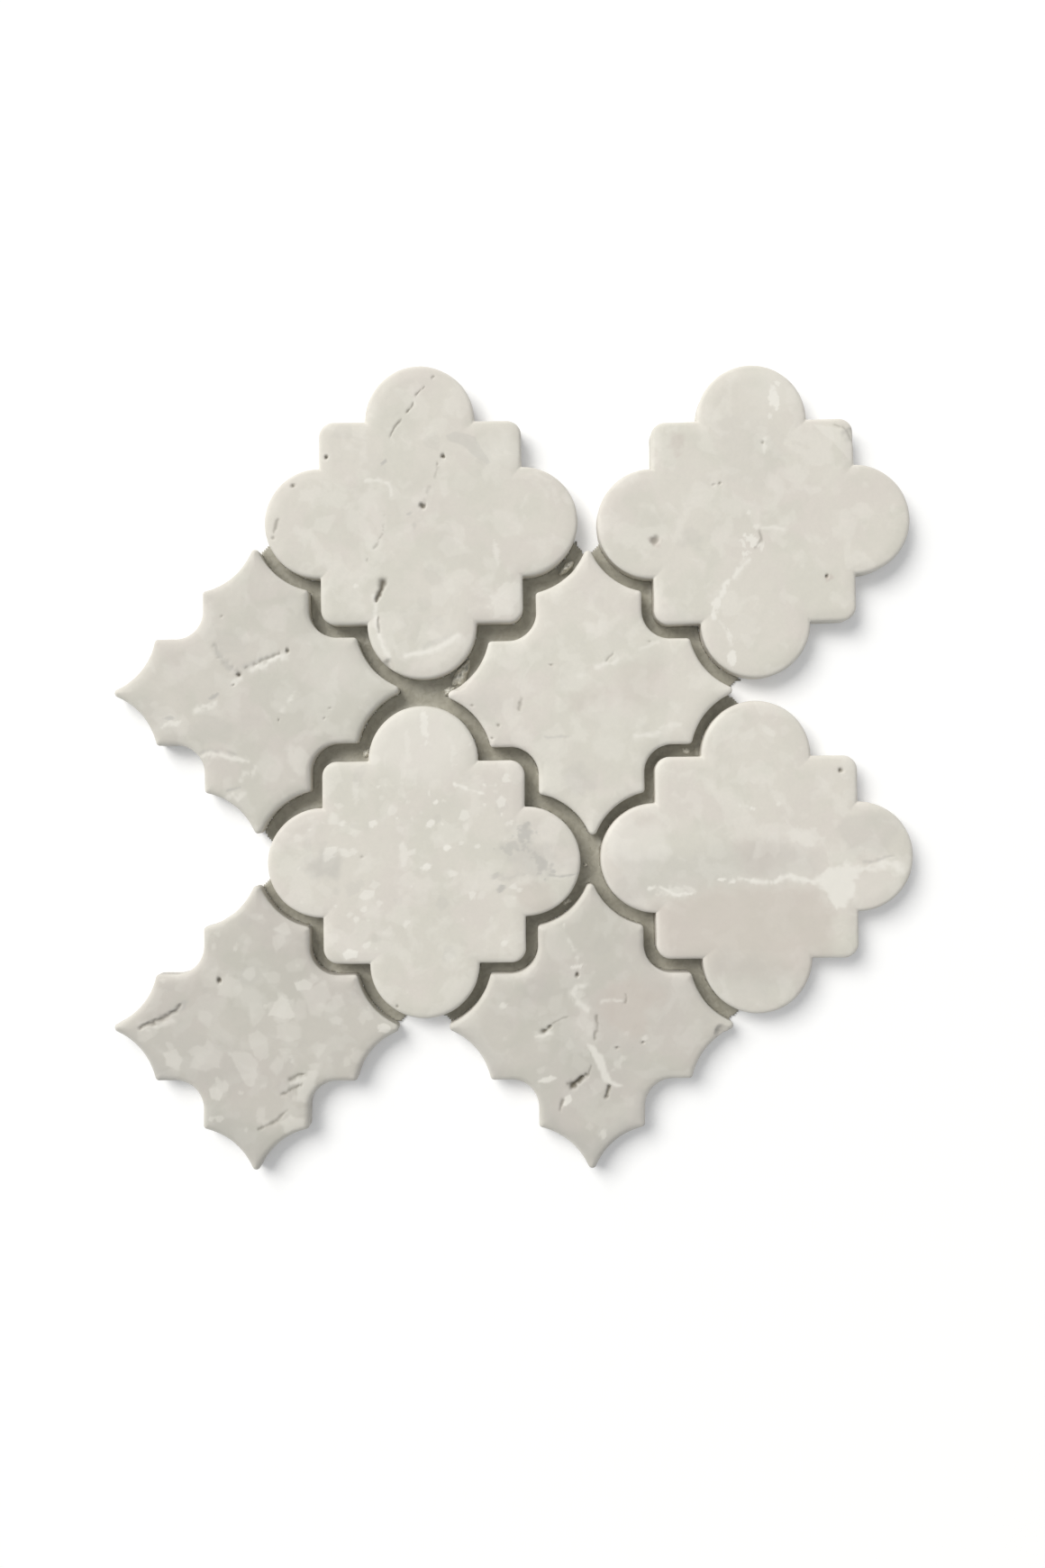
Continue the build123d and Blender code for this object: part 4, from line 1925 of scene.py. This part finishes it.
STAR_LEFT = marble("star_left", Star(), 0.7, 191, 1.25, TumbledMarble(
    0.93, greenness=0.5, shift=(0.91, 0.62, 0.07), turn=0.9), (
    Line("olive_vein", ((238, 716), (244, 728), (254, 739), (264, 748)), 1.1, 0.3, COOL_AND_SHADE, 0.42, 0.05, 0.9, 0.5,
        seed=2),
    Line("dark_vein", ((272, 741), (284, 735), (298, 729), (311, 725), (319, 722)), 0.36, 0.3, strength=0.5,
        missing=0.3, seed=3),
    Line("dark_vein_shade", ((270, 740), (284, 733), (298, 727)), 0.9, 0.0, COOL_AND_SHADE, 0.4, 0.1, seed=14),
    light_vein("vein_edge", ((279, 744), (286, 738), (293, 739), (301, 731), (316, 728)), 1.1, 0.75, 0.0, 4, 0.5),
    Pit("vein_pit", (319, 722), 0.8, 0.9, 0.75),
    Pit("middle_pit", (265, 749), 0.75),
    Pit("middle_pit_beside", (259, 760), 0.5, 0.5, 0.5),
    Patch("pit_flake", (262, 756), 2.2, 1.4, 20.0, LIGHT, 0.5, 0.6, 0.2),
    Pit("upper_pit", (246, 684), 0.45, 0.4, 0.4),
    Patch("left_dent", (237, 773), 2.4, 0.9, 28.0, COOL_AND_SHADE, 0.65, 0.4, 0.3),
    light_vein("left_dent_edge", ((218, 788), (226, 783), (234, 784), (240, 777)), 0.9, 0.6, 0.1, 6, 0.6),
    Patch("far_left_dent", (188, 797), 2.2, 0.9, 10.0, COOL_AND_SHADE, 0.65, 0.4, 0.3),
    light_vein("far_left_dent_edge", ((181, 806), (188, 801), (194, 805), (201, 799)), 0.8, 0.6, 0.1, 8, 0.6),
    light_vein("white_line", ((222, 840), (234, 837), (247, 837), (257, 841), (275, 845)), 0.9, 0.62, 0.1, 9, 0.5),
    Line("white_line_shade", ((222, 835), (236, 832), (250, 833), (262, 837)), 0.5, 0.1, COOL_AND_SHADE, 0.4, 0.2, seed=15),
    light_vein("white_line_below", ((266, 866), (272, 858), (279, 860), (284, 850)), 1.0, 0.4, 0.2, 10, 0.6),
    light_vein("foot_line", ((250, 887), (258, 882), (264, 885), (271, 881)), 0.8, 0.5, 0.15, 11, 0.6),
    light_vein("right_line", ((326, 770), (322, 777), (315, 784), (312, 797)), 0.8, 0.5, 0.35, 12, 0.6),
    Line("lower_streak", ((268, 874), (252, 879)), 0.4, 0.1, COOL_AND_SHADE, 0.5, 0.2, seed=13),
    Pit("right_dot", (309, 799), 0.4, 0.4, 0.4),
    Pit("far_right_dot", (366, 786), 0.4, 0.4, 0.35),
    Pit("far_right_dot_below", (360, 797), 0.4, 0.4, 0.35),
    Patch("upper_shade", (255, 712), 9.0, 6.0, -20.0, COOL_AND_SHADE, 0.12, 0.4, 0.2),
    Patch("lower_shade", (235, 812), 11.0, 6.0, -10.0, COOL_AND_SHADE, 0.14, 0.5, 0.3),
    Field("pale_right", ((318, 832), (330, 827), (341, 836), (338, 858), (324, 852)), LIGHT, 0.3, 2.6, 0.9),
    Patch("pale_middle", (300, 850), 6.0, 7.0, 0.0, LIGHT, 0.2, 0.6, 0.3),
    Patch("pale_east", (378, 745), 15.0, 13.0, 0.0, LIGHT, 0.2, 0.5, 0.5, 37),
    # Painted shade along the lower-left rims, which face away from the light.
    Line("lower_left_rim_painted_shade", ((130, 781), (164, 826), (202, 829), (223, 850), (223, 881), (264, 898), (284, 927)), 1.0,
        0.0, COOL_AND_SHADE, 0.4, 0.1, 0.3, 0.5, seed=16),
    # Painted shade over the lower-left tip.
    Field("shaded_tip", ((145, 770), (170, 775), (215, 840), (205, 850), (150, 790)), COOL_AND_SHADE, 0.16, 1.0, 5.0),
    Fragments("pale_fragments", (284, 768), (42.0, 42.0), 30, 1.8, 6.5, LIGHT, 0.15, 0.14, 73),
    Fragments("grey_fragments", (284, 768), (42.0, 42.0), 12, 2.0, 6.0, COOL_AND_SHADE, 0.09, 0.14, 79),
))

STAR_CENTRE = marble("star_centre", Star(), 1.0, 211, 1.0, TumbledMarble(1.05, shift=(0.38, 0.94, 0.17), turn=5.2), (
    Line("upper_dash", ((674, 733), (680, 725)), 0.5, 0.2, strength=0.4, missing=0.1, seed=2),
    light_vein("upper_dash_edge", ((662, 740), (673, 737), (685, 733)), 0.85, 0.7, 0.0, 3),
    light_vein("middle_dash", ((640, 750), (654, 749)), 0.6, 0.5, 0.1, 4),
    light_vein("right_dash", ((711, 720), (721, 716), (731, 712)), 0.6, 0.4, 0.1, 14),
    Pit("upper_left_dot", (612, 738), 0.5, 0.4, 0.35),
    Line("left_streak", ((580, 775), (576, 789)), 0.45, 0.2, strength=0.4, missing=0.3, seed=5),
    Pit("left_dot", (553, 805), 0.55, 0.4, 0.5),
    Pit("left_dot_below", (546, 819), 0.5, 0.4, 0.5),
    Pit("tip_dot", (524, 783), 0.5, 0.4, 0.35),
    Pit("right_dot", (721, 712), 0.4, 0.3, 0.3),
    Line("lower_thread", ((606, 818), (635, 816)), 0.35, 0.0, COOL_AND_SHADE, 0.4, 0.3, seed=6),
    light_vein("right_light", ((704, 817), (716, 814), (730, 814)), 0.8, 0.6, 0.1, 7),
    light_vein("right_light_end", ((733, 809), (744, 806), (755, 804)), 0.7, 0.5, 0.2, 8),
    Patch("pink_cloud", (705, 760), 11.0, 8.0, 30.0, WARM, 0.22, 0.6, 0.35),
    Patch("pink_cloud_left", (655, 775), 9.0, 6.0, 0.0, WARM, 0.25, 0.6, 0.35),
    Patch("grey_left_tip", (540, 780), 8.0, 6.0, 0.0, COOL_AND_SHADE, 0.14, 0.5, 0.4),
    Patch("pale_heart", (677, 790), 8.0, 6.0, 20.0, LIGHT, 0.2, 0.6, 0.3),
    Patch("pale_foot", (672, 830), 7.0, 5.5, 0.0, LIGHT, 0.22, 0.6, 0.25),
    Patch("pale_top", (660, 700), 5.0, 4.0, 0.0, LIGHT, 0.24, 0.6, 0.25),
    Patch("grey_foot", (642, 866), 8.0, 6.0, 0.0, COOL_AND_SHADE, 0.2, 0.5, 0.4),
    Chip("left_tip_chip", (507, 760), 3.0, 1.4, 0.2),
    Chip("upper_left_chip", (633, 632), 2.6, 1.2, 0.3),
    Fragments("pale_fragments", (655, 768), (42.0, 42.0), 30, 2.0, 6.5, LIGHT, 0.14, 0.2, 83),
    Fragments("grey_fragments", (655, 768), (42.0, 42.0), 10, 2.0, 6.0, COOL_AND_SHADE, 0.06, 0.25, 89),
))

STAR_BOTTOM_LEFT = marble("star_bottom_left", Star(), -0.1, 233, 1.45, TumbledMarble(
    0.85, shift=(0.66, 0.08, 0.41), turn=3.3), (
    Pit("upper_pit", (243, 1088), 0.9),
    Line("left_crack", ((200, 1116), (196, 1122), (186, 1128), (176, 1134), (166, 1137), (156, 1141)), 1.05, 0.8,
        strength=0.5, missing=0.0, stray=0.7, ragged=0.4, taper=0.4, seed=2),
    Patch("crack_shade", (196, 1120), 6.0, 2.4, 35.0, COOL_AND_SHADE, 0.4, 0.7, 0.35),
    light_vein("left_crack_edge", ((164, 1143), (178, 1139), (190, 1132)), 0.9, 0.4, 0.1, 3),
    Patch("left_shade", (212, 1172), 27.0, 11.0, -30.0, COOL_AND_SHADE, 0.18, 0.4, 0.5),
    Field("large_fragment", ((299, 1125), (306, 1112), (313, 1105), (322, 1110), (328, 1128), (314, 1130)), LIGHT,
        0.42, 1.0, 0.3),
    Field("fragment_below", ((307, 1139), (318, 1134), (333, 1140), (334, 1152), (320, 1157), (308, 1152)), LIGHT,
        0.2, 0.4, 0.3),
    Field("tall_fragment", ((276, 1147), (287, 1143), (298, 1152), (300, 1172), (288, 1178), (279, 1168)), LIGHT,
        0.22, 1.2, 0.35),
    Field("tall_fragment_foot", ((254, 1166), (274, 1168), (286, 1180), (284, 1203), (273, 1205), (262, 1188)), LIGHT,
        0.24, 1.2, 0.35),
    Field("left_fragment", ((180, 1166), (196, 1164), (203, 1176), (199, 1190), (187, 1184)), LIGHT, 0.3, 1.0, 0.35),
    Field("left_fragment_beside", ((209, 1168), (218, 1161), (232, 1163), (245, 1174), (242, 1183), (222, 1182)),
        LIGHT, 0.24, 1.2, 0.35),
    Field("upper_fragment", ((241, 1093), (252, 1086), (270, 1089), (269, 1101), (258, 1108), (244, 1104)), LIGHT,
        0.26, 2.2, 0.6),
    Field("upper_right_fragment", ((327, 1091), (337, 1087), (347, 1091), (344, 1099), (330, 1099)), LIGHT, 0.42, 0.4,
        0.25),
    Field("foot_fragment", ((231, 1209), (240, 1206), (247, 1213), (244, 1221), (234, 1219)), LIGHT, 0.4, 0.5, 0.25),
    Line("right_crack", ((322, 1198), (331, 1192), (339, 1191)), 0.6, 0.3, strength=0.6, taper=0.4, seed=4),
    Line("right_crack_below", ((315, 1215), (325, 1209), (334, 1205)), 0.55, 0.3, strength=0.55, missing=0.1,
        taper=0.4, seed=5),
    light_vein("right_crack_edge", ((322, 1202), (333, 1198), (340, 1196)), 0.8, 0.6, 0.1, 12),
    Line("lower_crack", ((322, 1230), (314, 1236), (303, 1246)), 0.45, 0.3, strength=0.45, missing=0.45, seed=6),
    Line("lower_crack_end", ((303, 1247), (288, 1254)), 0.6, 0.3, strength=0.5, taper=0.5, seed=7),
    Line("edge_crack", ((350, 1222), (350, 1238)), 0.5, 0.3, strength=0.75, stray=0.2, seed=8),
    Field("white_area", ((331, 1200), (341, 1188), (353, 1187), (352, 1212), (341, 1224), (330, 1220)), LIGHT, 0.42,
        1.2, 0.4),
    Field("white_area_foot", ((308, 1248), (322, 1240), (340, 1241), (338, 1253), (318, 1256)), LIGHT, 0.34, 1.2,
        0.4),
    Patch("right_tip", (427, 1142), 2.8, 2.0, 0.0, LIGHT, 0.55, 0.5, 0.2),
    # Painted shade on the foot and the left tip, whose rims face away from the light.
    Field("shaded_foot", ((232, 1225), (262, 1240), (300, 1262), (300, 1300), (262, 1300), (225, 1255)), COOL_AND_SHADE, 0.32,
        1.0, 7.0),
    Field("shaded_left", ((120, 1140), (150, 1150), (200, 1200), (180, 1215), (120, 1160)), COOL_AND_SHADE, 0.55, 1.0, 6.0),
    Fragments("pale_fragments", (284, 1141), (44.0, 44.0), 84, 0.9, 3.8, LIGHT, 0.3, 0.18, 97),
    Fragments("pale_plates", (284, 1141), (44.0, 44.0), 34, 2.2, 6.0, LIGHT, 0.22, 0.16, 99),
    Fragments("grey_fragments", (284, 1141), (44.0, 44.0), 20, 1.8, 5.0, COOL_AND_SHADE, 0.13, 0.15, 103),
))

STAR_BOTTOM_CENTRE = marble("star_bottom_centre", Star(), 0.4, 251, 1.35, TumbledMarble(
    0.88, shift=(0.05, 0.51, 0.29), turn=2.2), (
    light_vein("arm_edge", ((626, 1027), (632, 1045), (640, 1058), (641, 1072)), 0.6, 0.4, 0.35, 2, 0.6),
    Patch("vein_cross", (640, 1073), 3.2, 0.8, 10.0, LIGHT, 0.6, 0.6, 0.2),
    light_vein("vein_bend", ((650, 1092), (641, 1096), (637, 1104), (642, 1113), (652, 1121)), 1.25, 0.6, 0.05, 16,
        0.7),
    Patch("vein_bend_cloud", (642, 1104), 3.2, 2.4, 0.0, LIGHT, 0.35, 0.8, 0.3),
    Patch("vein_halo", (650, 1135), 3.0, 7.0, 10.0, LIGHT, 0.25, 0.6, 0.4),
    Field("vein_band", ((652, 1158), (661, 1161), (670, 1172), (673, 1188), (680, 1199), (691, 1204), (682, 1206),
        (670, 1200), (662, 1182)), LIGHT, 0.64, 0.8, 0.6),
    Line("vein_thread", ((662, 1128), (662, 1152)), 0.42, 0.2, strength=0.45, missing=0.1, seed=6),
    Pit("vein_pit", (641, 1082), 0.8),
    Line("left_slit", ((602, 1145), (608, 1141), (612, 1138)), 0.85, 0.8, strength=0.85, stray=0.6, ragged=0.3,
        taper=0.6, seed=7),
    light_vein("left_slit_edge", ((595, 1150), (603, 1149), (611, 1147)), 0.9, 0.7, 0.0, 8),
    Line("left_slit_end", ((614, 1137), (629, 1128)), 0.4, 0.1, strength=0.3, missing=0.2, seed=9),
    Line("large_slit", ((637, 1204), (643, 1200), (651, 1193)), 1.25, 1.4, strength=0.95, stray=1.0, ragged=0.6,
        taper=0.6, seed=10),
    Line("large_slit_end", ((652, 1193), (657, 1182)), 0.35, 0.2, strength=0.4, missing=0.1, seed=14),
    Line("upright_slit", ((676, 1207), (673, 1216)), 0.75, 0.9, strength=0.9, stray=0.5, ragged=0.5, taper=0.3,
        seed=11),
    Line("lower_left_slit", ((622, 1232), (625, 1222)), 0.6, 0.5, strength=0.5, seed=12),
    Field("slit_flake", ((596, 1203), (602, 1195), (612, 1192), (619, 1195), (610, 1200)), LIGHT, 0.65, 0.8, 0.35),
    Field("slit_flake_below", ((626, 1218), (632, 1215), (636, 1221), (630, 1227), (625, 1226)), LIGHT, 0.7, 0.6,
        0.3),
    Patch("right_flake", (687, 1180), 3.6, 1.6, 50.0, LIGHT, 0.3, 0.7, 0.25),
    Pit("right_pit", (685, 1163), 0.6, 0.6, 0.5),
    Pit("far_right_pit", (714, 1157), 0.5, 0.6, 0.45),
    Line("upper_right_slit", ((694, 1105), (694, 1114)), 0.45, 0.3, strength=0.5, seed=13),
    light_vein("upper_right_light", ((668, 1112), (680, 1110), (690, 1110)), 0.5, 0.4, 0.2, 15),
    Patch("bottom_speck", (670, 1258), 2.2, 1.6, 40.0, LIGHT, 0.4, 0.6, 0.3),
    speck("left_speck", (558, 1116), 1.3, 0.5),
    speck("right_speck", (716, 1152), 1.2, 0.4),
    Patch("pink_cloud", (700, 1112), 11.0, 12.0, 0.0, WARM, 0.6, 0.5, 0.35),
    Field("pale_arm", ((606, 1030), (625, 1028), (634, 1048), (634, 1064), (612, 1066), (604, 1050)), LIGHT, 0.16,
        0.8, 0.8),
    Patch("green_shade", (600, 1100), 9.0, 7.0, 0.0, COOL_AND_SHADE, 0.14, 0.5, 0.3),
    Patch("lower_shade", (655, 1195), 26.0, 15.0, 0.0, COOL_AND_SHADE, 0.15, 0.4, 0.5, 39),
    # Painted shade on the foot and the left tip, whose rims face away from the light.
    Field("shaded_foot", ((600, 1215), (625, 1250), (660, 1262), (700, 1240), (715, 1215), (700, 1280), (660, 1300),
        (620, 1290)), COOL_AND_SHADE, 0.45, 1.0, 6.0),
    Field("shaded_left", ((495, 1135), (530, 1150), (560, 1190), (540, 1205), (495, 1160)), COOL_AND_SHADE, 0.34, 1.0, 6.0),
    Chip("right_tip_chip", (800, 1145), 2.6, 1.6, 0.0),
    Fragments("pale_fragments", (657, 1140), (44.0, 44.0), 36, 1.0, 4.5, LIGHT, 0.18, 0.14, 107),
    Fragments("grey_fragments", (657, 1140), (44.0, 44.0), 14, 2.0, 6.0, COOL_AND_SHADE, 0.09, 0.15, 109),
))

PIECES = (
    CLOVER_TOP_LEFT, CLOVER_TOP_RIGHT, CLOVER_MIDDLE_LEFT, CLOVER_MIDDLE_RIGHT,
    STAR_LEFT, STAR_CENTRE, STAR_BOTTOM_LEFT, STAR_BOTTOM_CENTRE,
)

NET = (
    NetLayer("net_warp", "net_weft", False, CoatedFibreglass()),
    NetLayer("net_weft", "net_warp", True, CoatedFibreglass()),
)

SMEARS = AdhesiveSmears((
    Dab((405, 835), 2.2, 1.4, 30.0, 2.4, 3),
    Dab((629, 627), 3.8, 1.8, 38.0, 4.5, 5),
    Dab((511, 746), 7.0, 2.7, 53.0, 3.6, 8),
    Dab((498, 765), 2.8, 1.6, 30.0, 3.0, 9),
    Dab((651, 962), 0.9, 0.6, 30.0, 1.8, 11),
    Dab((535, 1130), 2.2, 1.2, 80.0, 1.6, 13),
    Dab((630, 1003), 1.8, 1.2, 30.0, 1.4, 15),
    Dab((765, 833), 2.2, 1.1, -35.0, 1.6, 17),
), DriedAdhesive(adhesive=(0.78, 0.76, 0.68), dust=(0.52, 0.505, 0.44)))

FILM = AdhesiveFilm(PIECES, NET, DriedAdhesive(adhesive=(0.375, 0.358, 0.296), dust=(0.315, 0.298, 0.241)))


def main() -> None:
    """Makes and dresses every piece of the sheet, and then the studio round it."""
    for part in (*PIECES, *NET, FILM, SMEARS):
        piece = part.build()
        part.dress(piece)
        log.info("%s: %d triangles", piece.name, triangle_count(piece))
    Studio().build()


if __name__ == "__main__":
    main()
